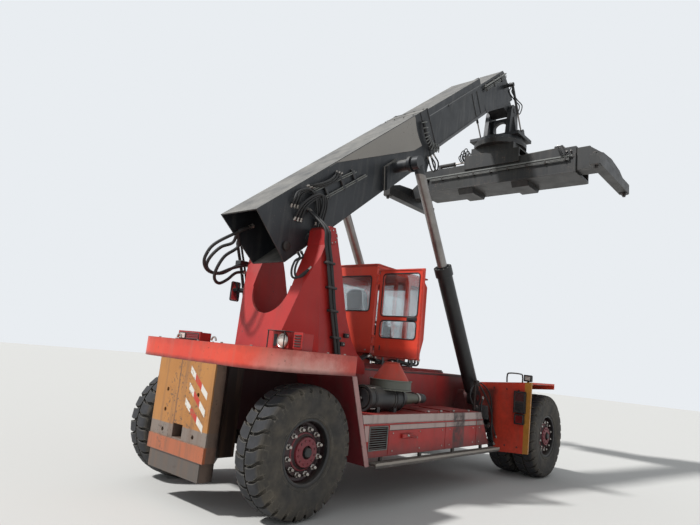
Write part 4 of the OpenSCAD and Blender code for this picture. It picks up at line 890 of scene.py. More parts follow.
def make_side_trim():
    shape = Shape()
    right = -LEFT
    # pull handle of the box's door, and the door's seams as raised beads
    shape.box(place(1.97, -1.635, 0.965), place(2.25, -BOX_FACE, 1.035), 0, 0.012)
    shape.hose([place(2.1, -1.63, 1.01), place(2.22, -1.66, 0.985), place(2.36, -1.628, 0.97),
                place(2.42, -1.6, 0.96)], 0.012, fitting=3)
    for x in (1.64, 3.3, 4.42):
        shape.box(place(x, -1.606, 0.735), place(x + 0.012, -BOX_FACE, 1.17), 0, 0.003)
    for z in (1.094, 1.178):
        shape.box(place(1.63, -1.605, z - 0.004), place(4.64, -BOX_FACE, z + 0.004), 1, 0.002)
    for x in (1.75, 2.5, 3.2, 3.45, 4.3, 4.55):
        shape.bolts([place(x, -1.6, 0.79), place(x, -1.6, 1.05)], right, 0.012, 0.009, 3)
    # frame round the grille
    shape.tube(rounded(place(1.385, -1.603, 0.99), AHEAD, UP, 0.222, 0.168, 0.01), 0.009, 8, 2)
    # left side: the tank's filler, its gauge and its straps
    shape.spin([(0.075, 0), (0.075, 0.05), (0.06, 0.06), (0.03, 0.075)], place(2.1, 1.45, 1.33), UP, 24, 1)
    shape.box(place(3.2, BOX_FACE, 0.85), place(3.24, 1.62, 1.15), 1, 0.006)
    for x in (1.7, 2.9, 4.1):
        shape.box(place(x, BOX_FACE, 0.722), place(x + 0.06, 1.612, 1.328), 1, 0.004)
        shape.bolts([place(x + 0.03, 1.61, 0.78), place(x + 0.03, 1.61, 1.24)], LEFT, 0.014, 0.012, 3)
    # lids on the boxes' tops
    for side in (-1, 1):
        for x0, x1 in ((2.75, 3.4), (3.6, 4.4)):
            edge = side * 1.5
            shape.box(*corners((x0, side * 0.82, 1.328), (x1, edge, 1.348)), 0, 0.008)
            for x in (x0 + 0.12, x1 - 0.12):
                shape.box(place(x - 0.03, edge - 0.012, 1.335), place(x + 0.03, edge + 0.02, 1.362), 3, 0.004)
    shape.place("side_box_trim", ["box_plain", "black", "grey_frame", "bright"], "chassis", "red_paint")
    steps = Shape()
    # raised bars of the tread plate
    for side in (-1, 1):
        x = TREAD_REAR
        while x < TREAD_FRONT:
            for row in range(2):
                y = side * (1.6 + 0.045 * row + 0.022)
                near, far = y - side * 0.014, y + side * 0.014
                lean = 0.012 * (1 if row else -1)
                bar = []
                for u, rise in ((0, -0.001), (0.001, 0.004)):
                    z = TREAD_TOP + rise
                    bar.append([place(x + u, near, z), place(x + u + lean, far, z),
                                place(x + u + lean + 0.006, far, z), place(x + u + 0.006, near, z)])
                steps.rings(bar)
            x += TREAD_PITCH
    steps.place("tread_bars", ["running_board"], "chassis", "dark_paint")


DRUM_Y, DRUM_Z = -1.25, 1.532
PAN_R = 0.343


def make_air_intake():
    shape = Shape()
    y, z = DRUM_Y, DRUM_Z
    # end rings, their clamps and the dished end
    for x in (1.345, 1.49, 2.02, 2.2):
        shape.spin([(0.2, 0), (0.206, 0.006), (0.206, 0.022), (0.2, 0.028), (0.186, 0.028), (0.186, 0)],
                   place(x, y, z), AHEAD, 40, 0, closed=True)
    for angle in (0.6, 2.2, 3.9, 5.3):
        out = Vector((0, math.cos(angle), math.sin(angle)))
        shape.bar(place(1.38, y, z) + out * 0.207, place(1.5, y, z) + out * 0.207, 0.008, 1, 8)
    shape.spin([(0.15, 0.02), (0.13, 0.012), (0.1, 0.016), (0.062, 0.004), (0.04, -0.012)], place(1.36, y, z),
               -AHEAD, 32, 0)
    shape.bolts([place(1.33, y, z)], -AHEAD, 0.022, 0.02, 1)
    # rain hood: ribs under the pan, the cap's rim and its centre bolt
    top = place(2.055, y, 0.0)
    for height in (1.682, 1.827):
        rib = [top + Vector((PAN_R * math.cos(a), PAN_R * math.sin(a), height)) for a in turns(40)]
        shape.tube(rib + [top + Vector((PAN_R, 0, height))], 0.011, 8, 2)
    shape.spin([(0.128, 2.092), (0.134, 2.1), (0.12, 2.112), (0.06, 2.118)], top, UP, 32, 3)
    shape.bolts([top + UP * 2.117], UP, 0.02, 0.02, 1)
    # cone's clamp and the rubber elbow to the frame
    shape.spin([(0.086, 0), (0.092, 0.01), (0.092, 0.04), (0.086, 0.05), (0.07, 0.05), (0.07, 0)],
               place(2.82, y, z), AHEAD, 32, 1, closed=True)
    elbow = smooth_path([place(2.8, y, z), place(2.95, y, z), place(3.08, y + 0.03, z),
                         place(3.18, y + 0.15, z), place(3.21, y + 0.32, z), place(3.21, -0.7, z)], 6)
    ripple = [0.074 + 0.004 * math.sin(k * 1.9) for k in range(len(elbow))]
    shape.tube(elbow, ripple, 20, 4)
    finishes = ["black", "bright", "intake_grey", "orange", "hose"]
    shape.place("air_intake_trim", finishes, "chassis", "dark_paint")


# Mudguard lamps and cylinder feet

# Each lamp behind a mudguard as (middle, (width, height), finish of its lens)
GUARD_LAMPS = [((5.622, 1.909, 1.66), (0.2, 0.18), 2), ((5.622, 1.909, 1.46), (0.2, 0.19), 0),
               ((5.632, 1.909, 1.22), (0.16, 0.16), 1), ((5.732, 2.02, 2.05), (0.12, 0.09), 3)]
# Hoses at a lift cylinder's foot, each with its radius
FOOT_HOSES = [
    (0.016, [(4.955, 1.25, 1.844), (4.781, 1.27, 1.734), (4.724, 1.28, 1.593), (4.852, 1.27, 1.454),
             (5.06, 1.22, 1.36), (5.25, 1.16, 1.38)]),
    (0.02, [(5.36, 1.24, 1.569), (5.219, 1.28, 1.425), (5.197, 1.3, 1.283), (5.3, 1.28, 1.138),
            (5.5, 1.2, 1.02), (5.69, 1.24, 0.98)]),
    (0.017, [(5.0, 1.27, 1.9), (5.1, 1.31, 1.78), (5.28, 1.34, 1.6), (5.45, 1.35, 1.42), (5.58, 1.35, 1.2),
             (5.6, 1.34, 0.95), (5.64, 1.36, 0.72), (5.69, 1.38, 0.64)]),
    (0.014, [(5.02, 1.29, 1.88), (5.2, 1.3, 1.84), (5.42, 1.33, 1.7), (5.56, 1.33, 1.5), (5.63, 1.32, 1.3),
             (5.62, 1.35, 1.05), (5.66, 1.4, 0.85), (5.69, 1.42, 0.78)])]


def make_guard_trim():
    shape = Shape()
    for side in (-1, 1):
        for (x, y, z), size, lens in GUARD_LAMPS:
            lamp_unit(shape, place(x, side * y, z), size, lens)
        for y in (1.32, 1.6, 1.86):
            shape.bolts([place(5.7, side * y, 1.79), place(5.7, side * y, 0.66)], -AHEAD, 0.016, 0.012, 0)
        # hand rail along the mudguard's top
        bends = ((5.9, 1.93), (5.9, 2.06), (6.0, 2.12), (6.6, 2.12), (6.7, 2.06), (6.7, 1.93))
        shape.tube(smooth_path([place(x, side * 1.5, z) for x, z in bends], 5), 0.016, 10, 0)
    shape.place("guard_lamps", ["black", "red_lens", "dark_lens", "lens"], "chassis", "dark_paint")
    hoses = Shape()
    for side in (-1, 1):
        for radius, route in FOOT_HOSES:
            hoses.hose([place(x, side * y, z) for x, y, z in route], radius)
        # port block on its post, clear of the cylinder at every angle
        hoses.box(*corners((4.915, side * 1.225, 1.8), (5.03, side * 1.31, 1.91)), 2, 0.01)
        hoses.box(*corners((4.9, side * 1.24, 1.325), (4.94, side * 1.29, 1.85)), 2, 0.006)
    hoses.place("cylinder_foot_hoses", ["hose", "bright", "grease"], "chassis", "tyre_rubber")


# Cab, its door and its seat

# Each window as (middle, direction of its width, width, height)
CAB_WINDOWS = [((2.117, 0.0, 3.27), LEFT, 1.21, 0.62), ((3.763, 0.0, 3.07), LEFT, 1.25, 1.02),
               ((2.905, 0.718, 3.24), AHEAD, 1.27, 0.68), ((3.365, -0.712, 3.04), AHEAD, 0.35, 1.08)]
DOOR_WINDOWS = [((2.15, -1.245, 3.245), LEFT, 0.75, 0.73), ((2.15, -1.245, 2.655), LEFT, 0.73, 0.29)]
DOOR_HALF = 0.022 # of the door's thickness


def make_cab_trim():
    shape = Shape()
    for middle, width_way, width, height in CAB_WINDOWS:
        thick = 0.008 if middle[1] < -0.7 else 0.011 # the shut door leaves little room
        seal = rounded(place(*middle), width_way, UP, width / 2 + 0.004, height / 2 + 0.004, 0.055)
        shape.tube(seal, thick, 8, 0)
    # rain gutter round the roof and the ribs pressed into it
    gutter = rounded(place(2.94, 0.0, 3.79), AHEAD, LEFT, 0.822, 0.717, 0.03)
    shape.tube(gutter, 0.014, 8, 1)
    for y in (-0.45, -0.15, 0.15, 0.45):
        shape.box(place(2.3, y - 0.03, 3.806), place(3.58, y + 0.03, 3.818), 1, 0.006)
    # wiper on the front window, parked at its left
    shape.bar(place(3.77, 0.35, 2.5), place(3.79, 0.35, 2.5), 0.025, 2)
    shape.tube([place(3.79, 0.35, 2.5), place(3.795, 0.42, 2.85)], 0.009, 8, 2)
    shape.box(place(3.77, 0.405, 2.62), place(3.786, 0.425, 3.2), 0, 0.004)
    # grab rail on the left side and the plates that bolt the shell to its floor
    shape.tube(smooth_path([place(2.2, 0.716, 2.6), place(2.2, 0.77, 2.62), place(2.2, 0.77, 2.9),
                            place(2.2, 0.716, 2.92)], 4), 0.013, 8, 2)
    for x in (2.22, 2.62, 3.02, 3.42, 3.7):
        shape.bolts([place(x, 0.716, 2.28)], LEFT, 0.014, 0.011, 3)
    for y in (-0.6, -0.2, 0.2, 0.6):
        shape.bolts([place(2.119, y, 2.28)], -AHEAD, 0.014, 0.011, 3)
    shape.place("cab_trim", ["seal", "cab", "black", "bright"], "cab", "red_paint")
    door = Shape()
    for middle, width_way, width, height in DOOR_WINDOWS:
        for face, thick in ((-DOOR_HALF - 0.001, 0.01), (DOOR_HALF, 0.007)):
            middle_out = place(*middle) + AHEAD * face
            seal = rounded(middle_out, width_way, UP, width / 2 + 0.003, height / 2 + 0.003, 0.06)
            door.tube(seal, thick, 8, 0)
    # pull handle, its lock and the slot of the stay
    door.box(place(2.098, -1.59, 2.812), place(2.13, -1.45, 2.866), 1, 0.01)
    for low, high in ((2.116, 2.13), (2.17, 2.178)):
        door.box(place(low, -1.62, 2.808), place(high, -1.42, 2.87), 1, 0.008)
    door.box(place(2.122, -0.912, 2.29), place(2.129, -0.892, 2.375), 1, 0.004)
    # folded edge of the door's pressing
    door.tube(rounded(place(2.127, -1.215, 2.935), LEFT, UP, 0.462, 0.738, 0.03), 0.01, 8, 2)
    door.place("door_trim", ["seal", "black", "cab"], "door", "dark_paint")


PAD_STEPS, PAD_SIDES = 44, 36
ARM_Y = 0.29
WHEEL_R = 0.176


def pad(name, start, end, side, half_w, half_h, channels):
    """A crowned cushion between two points, its sides drawn in between the corners, with sewn channels."""
    along = (end - start).normalized()
    up = along.cross(side)
    shape = Shape()
    rings, seam = [], []
    for i in range(PAD_STEPS + 1):
        t = max(-0.998, min(0.998, -math.cos(math.pi * i / PAD_STEPS)))
        round_off = (1 - abs(t) ** 7) ** 0.32
        draw = 1.0 - 0.035 * (1 - t * t)
        sewn = sum(math.exp(-((t - c) / 0.035) ** 2) for c in channels)
        ring = []
        for a in turns(PAD_SIDES):
            across = math.copysign(abs(math.cos(a)) ** 0.4, math.cos(a))
            rise = math.copysign(abs(math.sin(a)) ** 0.7, math.sin(a))
            crown = 1.0 + (0.2 * (1 - across ** 4) * (1 - t ** 4) if rise > 0 else 0.0)
            height = half_h * rise * round_off * crown
            if rise > 0:
                height *= 1.0 - 0.24 * min(1.0, sewn) * (1 - abs(across) ** 6)
            spine = start + (end - start) * (t + 1) / 2
            ring.append(spine + side * (half_w * draw * across * round_off) + up * height)
        rings.append(ring)
        seam.append((ring[0] + side * 0.0015, ring[PAD_SIDES // 2] - side * 0.0015))
    shape.rings(rings)
    piping = [pair[0] for pair in seam] + [pair[1] for pair in reversed(seam)]
    shape.tube(piping + [piping[0].copy()], 0.0035, 6, 1)
    piece = shape.place(name, ["fabric", "seal"], "cab", "seat_fabric", 60.0)
    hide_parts("operator_seat")


def make_seat():
    start, end = place(2.54, 0, 2.712), place(3.09, 0, 2.712)
    pad("seat_cushion", start, end, LEFT, 0.25, 0.056, (-0.45, 0.0, 0.45))
    start, end = place(2.585, 0, 2.79), place(2.45, 0, 3.39)
    pad("seat_back", start, end, -LEFT, 0.235, 0.05, (-0.5, -0.1, 0.3, 0.66))
    for side in (-1, 1):
        hand = "left" if side > 0 else "right"
        start, end = place(2.6, side * ARM_Y, 2.82), place(2.96, side * ARM_Y, 2.82)
        pad("arm_rest_" + hand, start, end, LEFT, 0.034, 0.02, ())
    shape = Shape()
    # pan under the cushion, bellows of the suspension, base plate and the shell behind the back
    shape.box(place(2.55, -0.23, 2.635), place(3.07, 0.23, 2.662), 0, 0.01)
    for k in range(5):
        rise = 2.34 + 0.06 * k
        shape.box(place(2.66, -0.17, rise), place(2.94, 0.17, rise + 0.05), 1, 0.022)
    shape.box(place(2.62, -0.2, 2.29), place(2.98, 0.2, 2.335), 0, 0.008)
    lean = Matrix.Rotation(math.radians(-12.5), 3, "Y")
    shape.box(place(2.45, -0.2, 2.75), place(2.475, 0.2, 3.33), 0, 0.01, lean)
    for side in (-1, 1):
        y = side * ARM_Y
        shape.box(place(2.56, y - 0.014, 2.68), place(2.62, y + 0.014, 2.81), 0, 0.006)
        shape.box(place(2.6, y - 0.012, 2.79), place(2.95, y + 0.012, 2.806), 0, 0.004)
        shape.bar(place(2.9, y, 2.83), place(2.89, y, 2.93), 0.009, 2, 10)
        knob = [(0.012, -0.02), (0.02, -0.008), (0.02, 0.01), (0.01, 0.02)]
        shape.spin(knob, place(2.89, y, 2.94), UP, 14, 1)
    # steering column with its shroud, and the wheel
    shape.box(place(3.45, -0.12, 2.29), place(3.56, 0.12, 2.62), 1, 0.02)
    shape.box(place(3.455, -0.085, 2.6), place(3.55, 0.085, 2.8), 1, 0.03)
    tilt = Vector((-0.5, 0.0, 0.866))
    hub = place(3.47, 0, 2.79)
    shape.spin([(0.034, 0.0), (0.034, 0.07), (0.05, 0.085), (0.05, 0.105), (0.03, 0.118)], hub, tilt, 24, 1)
    across = tilt.cross(LEFT).normalized()
    wheel = hub + tilt * 0.105
    rim = [wheel + (LEFT * math.cos(a) + across * math.sin(a)) * WHEEL_R for a in turns(40)]
    shape.tube(rim + [rim[0].copy()], 0.0135, 12, 1)
    for angle in (0.52, 2.62, 4.71):
        out = LEFT * math.cos(angle) + across * math.sin(angle)
        shape.tube([wheel + out * 0.03, wheel + out * 0.1 - tilt * 0.006, wheel + out * 0.172],
                   [0.014, 0.01, 0.009], 10, 1)
    base = shape.place("seat_base_and_column", ["black", "seal", "bright"], "cab", "black_plastic")
    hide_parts("operator_seat")


# Hoses and pipes


def hose_run(name, routes, radius, body, clips=()):
    """Hoses that lie side by side, all of one size, held by small clips. body is as in Shape.place."""
    shape = Shape()
    for route in routes:
        shape.hose(route, radius)
    for low, high in clips:
        shape.box(low, high, 2, 0.008)
    shape.place(name, ["hose", "bright", "black"], body, "tyre_rubber")


# Hoses under the cab's floor, as (x, z)
FLOOR_HOSE = [(2.27, 2.21), (2.332, 2.151), (2.546, 2.117), (2.876, 2.087), (3.095, 2.148), (3.394, 2.115),
              (3.641, 2.12), (3.69, 2.21)]
# Loops behind the boom's tail, each from the left leg round to the tail
TAIL_LOOPS = [
    [(-0.512, 0.429, 3.655), (-0.596, 0.507, 3.465), (-0.553, 0.586, 3.331), (-0.398, 0.664, 3.245),
     (-0.148, 0.743, 3.262), (0.15, 0.821, 3.397), (0.547, 0.9, 3.539)],
    [(-0.195, 0.42, 3.74), (-0.355, 0.496, 3.634), (-0.465, 0.571, 3.466), (-0.467, 0.647, 3.32),
     (-0.304, 0.723, 3.248), (-0.037, 0.799, 3.283), (0.295, 0.874, 3.474), (0.584, 0.95, 3.565)],
    [(-0.078, 0.42, 3.705), (-0.262, 0.496, 3.504), (-0.33, 0.571, 3.284), (-0.287, 0.647, 3.145),
     (-0.135, 0.723, 3.096), (0.071, 0.799, 3.194), (0.278, 0.874, 3.342), (0.527, 0.95, 3.405)]]
# Hoses up the tower's left leg and its right leg, and loops in the notch of the right one
LEFT_POST = [(0.9, 0.9, 2.0), (0.82, 0.95, 2.164), (0.734, 0.95, 2.416), (0.635, 0.95, 2.754),
             (0.535, 0.95, 3.09), (0.436, 0.95, 3.425), (0.317, 0.95, 3.754), (0.27, 0.93, 3.9),
             (0.3, 0.8, 4.02), (0.38, 0.6, 4.1), (0.472, 0.47, 4.15)]
RIGHT_POST = [(1.07, -0.93, 2.1), (1.016, -0.93, 2.294), (0.923, -0.93, 2.594), (0.831, -0.93, 2.893),
              (0.769, -0.93, 3.149), (0.716, -0.93, 3.343), (0.659, -0.93, 3.568), (0.575, -0.93, 3.818),
              (0.57, -0.9, 4.02), (0.58, -0.72, 4.19), (0.56, -0.52, 4.34), (0.54, -0.45, 4.4)]
NOTCH_LOOP = [(0.42, -0.45, 3.66), (0.365, -0.56, 3.567), (0.24, -0.6, 3.484), (0.192, -0.6, 3.346),
              (0.221, -0.6, 3.237), (0.299, -0.63, 3.237), (0.38, -0.69, 3.33), (0.46, -0.74, 3.42)]
# Hoses on the boom's right side, in the boom's own (s, y, n)
SIDE_HOSES = [
    [(-0.034, -0.45, 0.552), (0.032, -0.455, 0.65), (0.152, -0.46, 0.712), (0.33, -0.47, 0.687),
     (0.434, -0.475, 0.611), (0.453, -0.475, 0.472), (0.386, -0.46, 0.268), (0.318, -0.44, 0.064)],
    [(-0.073, -0.46, 0.339), (0.069, -0.49, 0.501), (0.283, -0.5, 0.538), (0.474, -0.5, 0.523),
     (0.59, -0.5, 0.458), (0.525, -0.49, 0.302), (0.339, -0.46, 0.117), (0.251, -0.43, -0.078)],
    [(0.44, -0.46, 0.707), (0.702, -0.48, 0.634), (1.008, -0.48, 0.613), (1.254, -0.47, 0.655)]]
# On the collar, under it and at the nose, in the boom's own (s, n); then to the cab as (x, z)
COLLAR_PATH = [(4.2, 0.7), (4.146, 0.42), (4.154, 0.26), (4.248, 0.1), (4.455, 0.01)]
COLLAR_RIBS = 11
UNDER_COLLAR = [(4.037, -0.033), (4.024, -0.195), (4.032, -0.323), (4.117, -0.398), (4.237, -0.273),
                (4.193, -0.13), (4.16, -0.05)]
NOSE_HOSE = [(9.092, 0.313), (9.277, 0.164), (9.084, 0.083), (9.32, -0.216), (9.546, -0.439), (9.302, -0.586),
             (9.088, -0.577)]
CAB_HOSE = [(1.38, 2.0), (1.43, 2.256), (1.536, 2.126), (1.682, 2.037), (1.823, 2.003), (2.043, 2.099),
            (2.226, 2.168)]


def make_hoses():
    inside = [on_boom(-0.45, 0.26, 0.5), on_boom(-0.72, 0.31, 0.53)]
    tail = [inside + [place(*p) for p in loop] for loop in TAIL_LOOPS]
    hose_run("tail_hose_loops", tail, 0.026, ("chassis", "boom", place(0.1, 0.6, 3.3), place(-0.2, 0.6, 3.9)))
    left = [[place(x + 0.045 * k, y + 0.03 * (k % 2), z) for x, y, z in LEFT_POST] for k in range(3)]
    hose_run("left_leg_hoses", left, 0.019, ("chassis", "boom", place(0.27, 0.8, 3.94), place(0.45, 0.5, 4.12)),
             [corners((0.6, 0.86, 2.52), (0.78, 1.01, 2.58)), corners((0.5, 0.86, 3.06), (0.66, 1.01, 3.12)),
              corners((0.34, 0.86, 3.5), (0.6, 1.01, 3.58))])
    right = [[place(x + 0.038 * (k - 1.5), y + 0.012 * (k % 2), z) for x, y, z in RIGHT_POST] for k in range(4)]
    hose_run("right_leg_hoses", right, 0.017,
             ("chassis", "boom", place(0.6, -0.9, 3.9), place(0.55, -0.55, 4.32)),
             [corners((x - 0.09, -0.86, z - 0.02), (x + 0.09, -0.965, z + 0.02))
              for x, z in ((0.98, 2.4), (0.855, 2.8), (0.769, 3.149), (0.672, 3.52))])
    notch = [[place(x + 0.05 * k, y - 0.02 * k, z + 0.02 * k) for x, y, z in NOTCH_LOOP] for k in range(2)]
    hose_run("notch_hose_loops", notch, 0.017,
             ("chassis", "boom", place(0.3, -0.6, 3.3), place(0.42, -0.45, 3.62)))
    side = []
    for k in range(3):
        for route in SIDE_HOSES:
            shifted = [on_boom(s - 0.055 * k, y - 0.018 * k, n + 0.04 * k) for s, y, n in route]
            for i in (0, -1):
                shifted[i].y = -0.412
            side.append(shifted)
    hose_run("boom_side_hoses", side, 0.018, "boom")
    under = [[on_boom(s + 0.07 * k, -0.42 - 0.04 * k, n) for s, n in UNDER_COLLAR] for k in range(2)]
    hose_run("under_collar_hoses", under, 0.016, "boom")
    nose = [[on_boom(s - 0.06 * k, -0.34 - 0.1 * k, n) for s, n in NOSE_HOSE] for k in range(2)]
    hose_run("nose_hoses", nose, 0.015, "boom_extension")
    cab = [[place(x, -0.5 - 0.062 * k, z + 0.015 * k) for x, z in CAB_HOSE] for k in range(3)]
    hose_run("cab_hoses", cab, 0.028, ("chassis", "cab", place(1.6, -0.56, 2.1), place(2.15, -0.56, 2.1)))


def make_floor_hoses():
    """Hoses and their straps under the cab, which slide with it."""
    routes = []
    for k in range(4):
        sag = 0.02 * (k % 2)
        routes.append([place(x + 0.03 * (k - 1.5), -0.5 - 0.052 * k, z - (sag if z < 2.2 else 0.0))
                       for x, z in FLOOR_HOSE])
    hose_run("cab_floor_hoses", routes, 0.02, "cab",
             [corners((x, -0.69, 2.05), (x + 0.05, -0.47, 2.07)) for x in (2.5, 2.95, 3.4)]
             + [corners((x, -0.7, 2.05), (x + 0.05, -0.685, 2.235)) for x in (2.5, 2.95, 3.4)])


# Pipes on the boom's right side: (s, n) of one end, then of the other
SIDE_PIPES = [(0.425, 0.68, 1.552, 0.576), (0.44, 0.645, 1.6, 0.54), (0.608, 0.473, 1.815, 0.406),
              (0.62, 0.44, 1.85, 0.373)]


def make_boom_trim():
    shape = Shape()
    # four pipes along the right side, held by clamp bars
    for s0, n0, s1, n1 in SIDE_PIPES:
        shape.bar(on_boom(s0, -0.452, n0), on_boom(s1, -0.45, n1), 0.012, 1, 10)
    for s, n, tall in ((0.7, 0.55, 0.3), (1.15, 0.52, 0.28), (1.5, 0.5, 0.26)):
        middle = on_boom(s, -0.447, n)
        half = Vector((0.025, 0.018, tall / 2))
        shape.box(middle - half, middle + half, 0, 0.006, BOOM_TURN)
    # boss of the tail's cross pin
    for side in (-1, 1):
        shape.spin([(0.075, -0.02), (0.075, 0.03), (0.06, 0.038), (0.02, 0.038)],
                   on_boom(-0.538, side * 0.405, 0.138), LEFT * side, 28, 2)
    # ribbed hose guide on the collar's right side
    path = smooth_path([on_boom(s, -0.475, n) for s, n in COLLAR_PATH], 8)
    shape.tube(path, 0.034, 12, 3)
    for k in range(COLLAR_RIBS):
        i = 1 + k * (len(path) - 3) // (COLLAR_RIBS - 1)
        along = (path[i + 1] - path[i - 1]).normalized()
        out = along.cross(LEFT).normalized()
        rib = [path[i] - out * 0.1 - LEFT * 0.012, path[i] - LEFT * 0.038, path[i] + out * 0.1 - LEFT * 0.012]
        shape.tube(rib, 0.012, 8, 4)
    # bolts across the collar's top, at its two ends
    for s in (4.06, 4.5):
        for y in (-0.36, -0.12, 0.12, 0.36):
            shape.bolts([on_boom(s, y, 0.886)], SQUARE, 0.018, 0.014, 1)
    finishes = ["charcoal", "grey_frame", "grease", "hose", "grey_frame"]
    shape.place("boom_side_trim", finishes, "boom", "dark_paint")
    caps = Shape()
    for side in (-1, 1):
        out = LEFT * side
        middle = PIVOT + out * 0.871
        caps.spin([(0.13, -0.004), (0.13, 0.014), (0.122, 0.022), (0.05, 0.022)], middle, out, 36, 0)
        heads = [middle + Vector((0.1 * math.cos(a), side * 0.021, 0.1 * math.sin(a))) for a in turns(8)]
        caps.bolts(heads, out, 0.013, 0.011, 1)
    # thin frame of the rear view mirror on the left leg
    caps.tube(rounded(place(0.44, 1.04, 3.05), AHEAD, UP, 0.09, 0.16, 0.02), 0.01, 8, 2)
    caps.box(place(0.36, 1.032, 2.9), place(0.52, 1.038, 3.2), 3, 0.001)
    caps.bar(place(0.5, 1.04, 3.05), place(0.56, 0.86, 3.05), 0.012, 2, 10)
    # junction boxes and their clips at the foot of the right leg
    for x, z in ((1.12, 2.28), (1.2, 2.42)):
        caps.box(place(x, -0.93, z), place(x + 0.09, -0.868, z + 0.07), 2, 0.01)
        caps.bolts([place(x + 0.045, -0.93, z + 0.035)], -LEFT, 0.014, 0.012, 1)
    caps.place("tower_trim", ["red", "bright", "black", "mirror"], "chassis", "red_paint")


def make_nose_trim():
    """Guard bars and pipes on the nose, far enough out to stay ahead of the collar."""
    shape = Shape()
    for side in (-1, 1):
        y = side * 0.405
        for n, radius in ((0.6, 0.02), (0.545, 0.012), (0.51, 0.012)):
            shape.bar(on_boom(7.5, y + side * radius, n), on_boom(8.95, y + side * radius, n), radius, 1, 10)
        half = Vector((0.02, 0.026, 0.085))
        for s in (7.6, 8.1, 8.6):
            middle = on_boom(s, y + side * 0.012, 0.555)
            shape.box(middle - half, middle + half, 0, 0.006, BOOM_TURN)
    shape.place("nose_trim", ["charcoal", "grey_frame"], "boom_extension", "dark_paint")


# Lift cylinders, head and spreader

LIFT_FOOT = (5.35, 1.03, 1.55)
LIFT_ANGLE = math.radians(122.53)
LIFT_BARREL = 2.95


def make_cylinder_trim():
    along = Vector((math.cos(LIFT_ANGLE), 0.0, math.sin(LIFT_ANGLE)))
    across = Vector((along.z, 0.0, -along.x))
    for side in (-1, 1):
        hand = "left" if side > 0 else "right"
        foot = place(LIFT_FOOT[0], side * LIFT_FOOT[1], LIFT_FOOT[2])
        shape = Shape()
        for a in turns(10):
            out = across * math.cos(a) + LEFT * math.sin(a)
            shape.bolts([foot + along * (LIFT_BARREL - 0.002) + out * 0.145], along, 0.013, 0.012, 1)
        # wiper ring, port blocks and the pipe that joins them on the barrel's lower side
        shape.spin([(0.112, 0.0), (0.112, 0.014), (0.1, 0.02), (0.0965, 0.02), (0.0965, 0.0)],
                   foot + along * LIFT_BARREL, along, 36, 2, closed=True)
        for d in (0.42, 2.68):
            middle = foot + along * d + across * 0.165
            half = Vector((0.045, 0.04, 0.045))
            shape.box(middle - half, middle + half, 0, 0.01, Matrix.Rotation(-LIFT_ANGLE, 3, "Y"))
        shape.bar(foot + along * 0.45 + across * 0.19, foot + along * 2.65 + across * 0.19, 0.014, 0, 10)
        shape.place("cylinder_trim_" + hand, ["black", "bright", "seal"], "lift_barrel_" + hand, "dark_paint")


SLEW_BOLTS_R = 0.68
BEAM_TOP = 7.738
BEAM_REAR, BEAM_FRONT = 7.5, 8.532


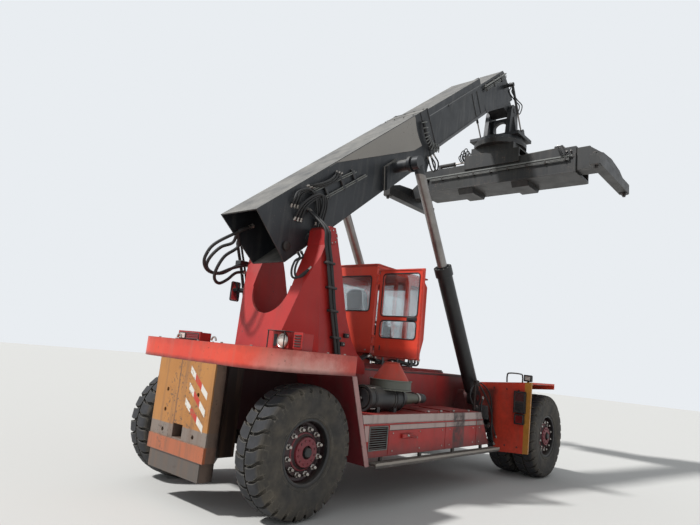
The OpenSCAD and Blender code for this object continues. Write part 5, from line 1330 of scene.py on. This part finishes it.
def make_head_trim():
    ring = Shape()
    bolts = [place(HEAD_X + SLEW_BOLTS_R * math.cos(a), SLEW_BOLTS_R * math.sin(a), 8.298) for a in turns(24)]
    ring.bolts(bolts, UP, 0.017, 0.016, 1)
    # hose cluster on the left end of the cradle, looped up and back down
    for k in range(6):
        y = 0.63 + 0.045 * k
        x = 7.62 - 0.015 * (k % 3)
        rise = 8.06 + 0.035 * ((k * 2) % 5)
        ring.hose([place(x + 0.12, y - 0.06, 7.9), place(x, y, 8.0), place(x - 0.06, y + 0.04, rise),
                   place(x - 0.1, y + 0.1, rise - 0.05), place(x - 0.08, y + 0.13, 7.95),
                   place(x + 0.02, y + 0.1, 7.84)], 0.014, 6, 0, 1)
    ring.place("slew_ring_bolts_and_hoses", ["hose", "bright"], "rotator", "bare_steel")
    spreader = Shape()
    # side shift cylinder on top of the beam, its rod towards the cradle
    spreader.spin([(0.05, 0.0), (0.055, 0.01), (0.055, 0.4), (0.06, 0.42), (0.06, 0.46), (0.04, 0.47)],
                  place(7.62, 1.62, 7.84), -LEFT, 24, 0)
    spreader.bar(place(7.62, 1.17, 7.84), place(7.62, 0.86, 7.84), 0.024, 2, 14)
    spreader.box(place(7.57, 1.6, 7.735), place(7.67, 1.68, 7.88), 0, 0.01)
    spreader.box(place(7.585, 1.14, 7.735), place(7.655, 1.2, 7.79), 0, 0.008)
    # valve block at the right end with its pipes
    spreader.box(place(7.56, -1.92, BEAM_TOP), place(7.72, -1.7, 7.83), 0, 0.012)
    for k in range(4):
        x = 7.58 + 0.035 * k
        spreader.bar(place(x, -1.7, 7.775), place(x, -0.95, 7.757), 0.011, 1, 8)
        spreader.bolts([place(x, -1.78 - 0.03 * (k % 2), 7.83)], UP, 0.014, 0.02, 2)
    for x in (7.575, 8.457):
        spreader.bolts([place(x, -2.1 + k * 4.2 / 16, BEAM_TOP) for k in range(17)], UP, 0.014, 0.012, 2)
    # pipes and the square guide bars along both faces of the beam, on brackets
    for x, out in ((BEAM_REAR, -1), (BEAM_FRONT, 1)):
        spreader.box(*corners((x, -2.18, 7.475), (x - out * 0.03, 2.18, 7.515)), 1, 0.006)
        for z in (7.43, 7.4):
            spreader.bar(place(x, -2.1, z), place(x, 1.9, z), 0.011, 1, 8)
        for k in range(9):
            y = -2.0 + 0.5 * k
            low, high = corners((x + out * 0.016, y - 0.02, 7.375), (x - out * 0.035, y + 0.02, 7.47))
            spreader.box(low, high, 0, 0.006)
    # hose loops that hang at the beam's rear face, right of the middle
    for k in range(3):
        x = 7.5 - 0.012 * k
        y = -1.84 - 0.07 * k + 0.03 * (k % 2)
        loop = [place(7.6, y + 0.05, 7.765), place(x, y + 0.06, 7.785), place(x - 0.03, y, 7.68),
                place(x - 0.02, y - 0.06, 7.52), place(x, y - 0.13, 7.56), place(7.53, y - 0.15, 7.64)]
        spreader.hose(loop, 0.013, 6, 3, 2)
    spreader.place("spreader_trim", ["spreader", "grey_frame", "bright", "hose"], "spreader", "dark_paint")


# Floor, light and sky

FLOOR_HALF = 60.0
SUN_DIRECTION = Vector((0.62, -0.35, -0.85))
SUN_STRENGTH = 3.5
SKY_STRENGTH = 0.55


def make_stage():
    mesh = bpy.data.meshes.new("floor")
    s = FLOOR_HALF
    mesh.from_pydata([(-s, -s, 0), (s, -s, 0), (s, s, 0), (-s, s, 0)], [], [(0, 1, 2, 3)])
    floor = bpy.data.objects.new("floor", mesh)
    bpy.context.collection.objects.link(floor)
    # cast concrete: pale and matt, so that the object keeps its shadow
    material, tree = new_tree("pale_floor")
    surface(tree, Base_Color="#C9C8C4", Roughness=0.9)
    mesh.materials.append(material)
    data = bpy.data.lights.new("sun", "SUN")
    data.energy = SUN_STRENGTH
    data.angle = math.radians(4.0)
    sun = bpy.data.objects.new("sun", data)
    sun.rotation_euler = SUN_DIRECTION.to_track_quat("-Z", "Y").to_euler()
    bpy.context.collection.objects.link(sun)
    world = bpy.data.worlds.new("sky")
    bpy.context.scene.world = world
    world.use_nodes = True
    tree = world.node_tree
    tree.nodes.clear()
    seen = add(tree, "LightPath", "Is Camera Ray")
    for ray in ("Is Glossy Ray", "Is Transmission Ray"):
        seen = add(tree, "Math", operation="MAXIMUM", use_clamp=True, i0=seen, i1=add(tree, "LightPath", ray))
    lamp = add(tree, "Background", Color="#E6EAEF", Strength=SKY_STRENGTH)
    back = add(tree, "Background", Color="#E9EDF1", Strength=1.0)
    add(tree, "OutputWorld", Surface=add(tree, "MixShader", Fac=seen, i1=lamp, i2=back))
    bpy.context.scene.view_settings.view_transform = "Standard"


make_camera()
make_materials()
make_stage()
dress_nodes()
make_tyres()
make_wheel_centres()
make_road_bars()
make_deck_trim()
make_side_trim()
make_air_intake()
make_guard_trim()
make_cab_trim()
make_seat()
make_hoses()
make_floor_hoses()
make_boom_trim()
make_nose_trim()
make_cylinder_trim()
make_head_trim()
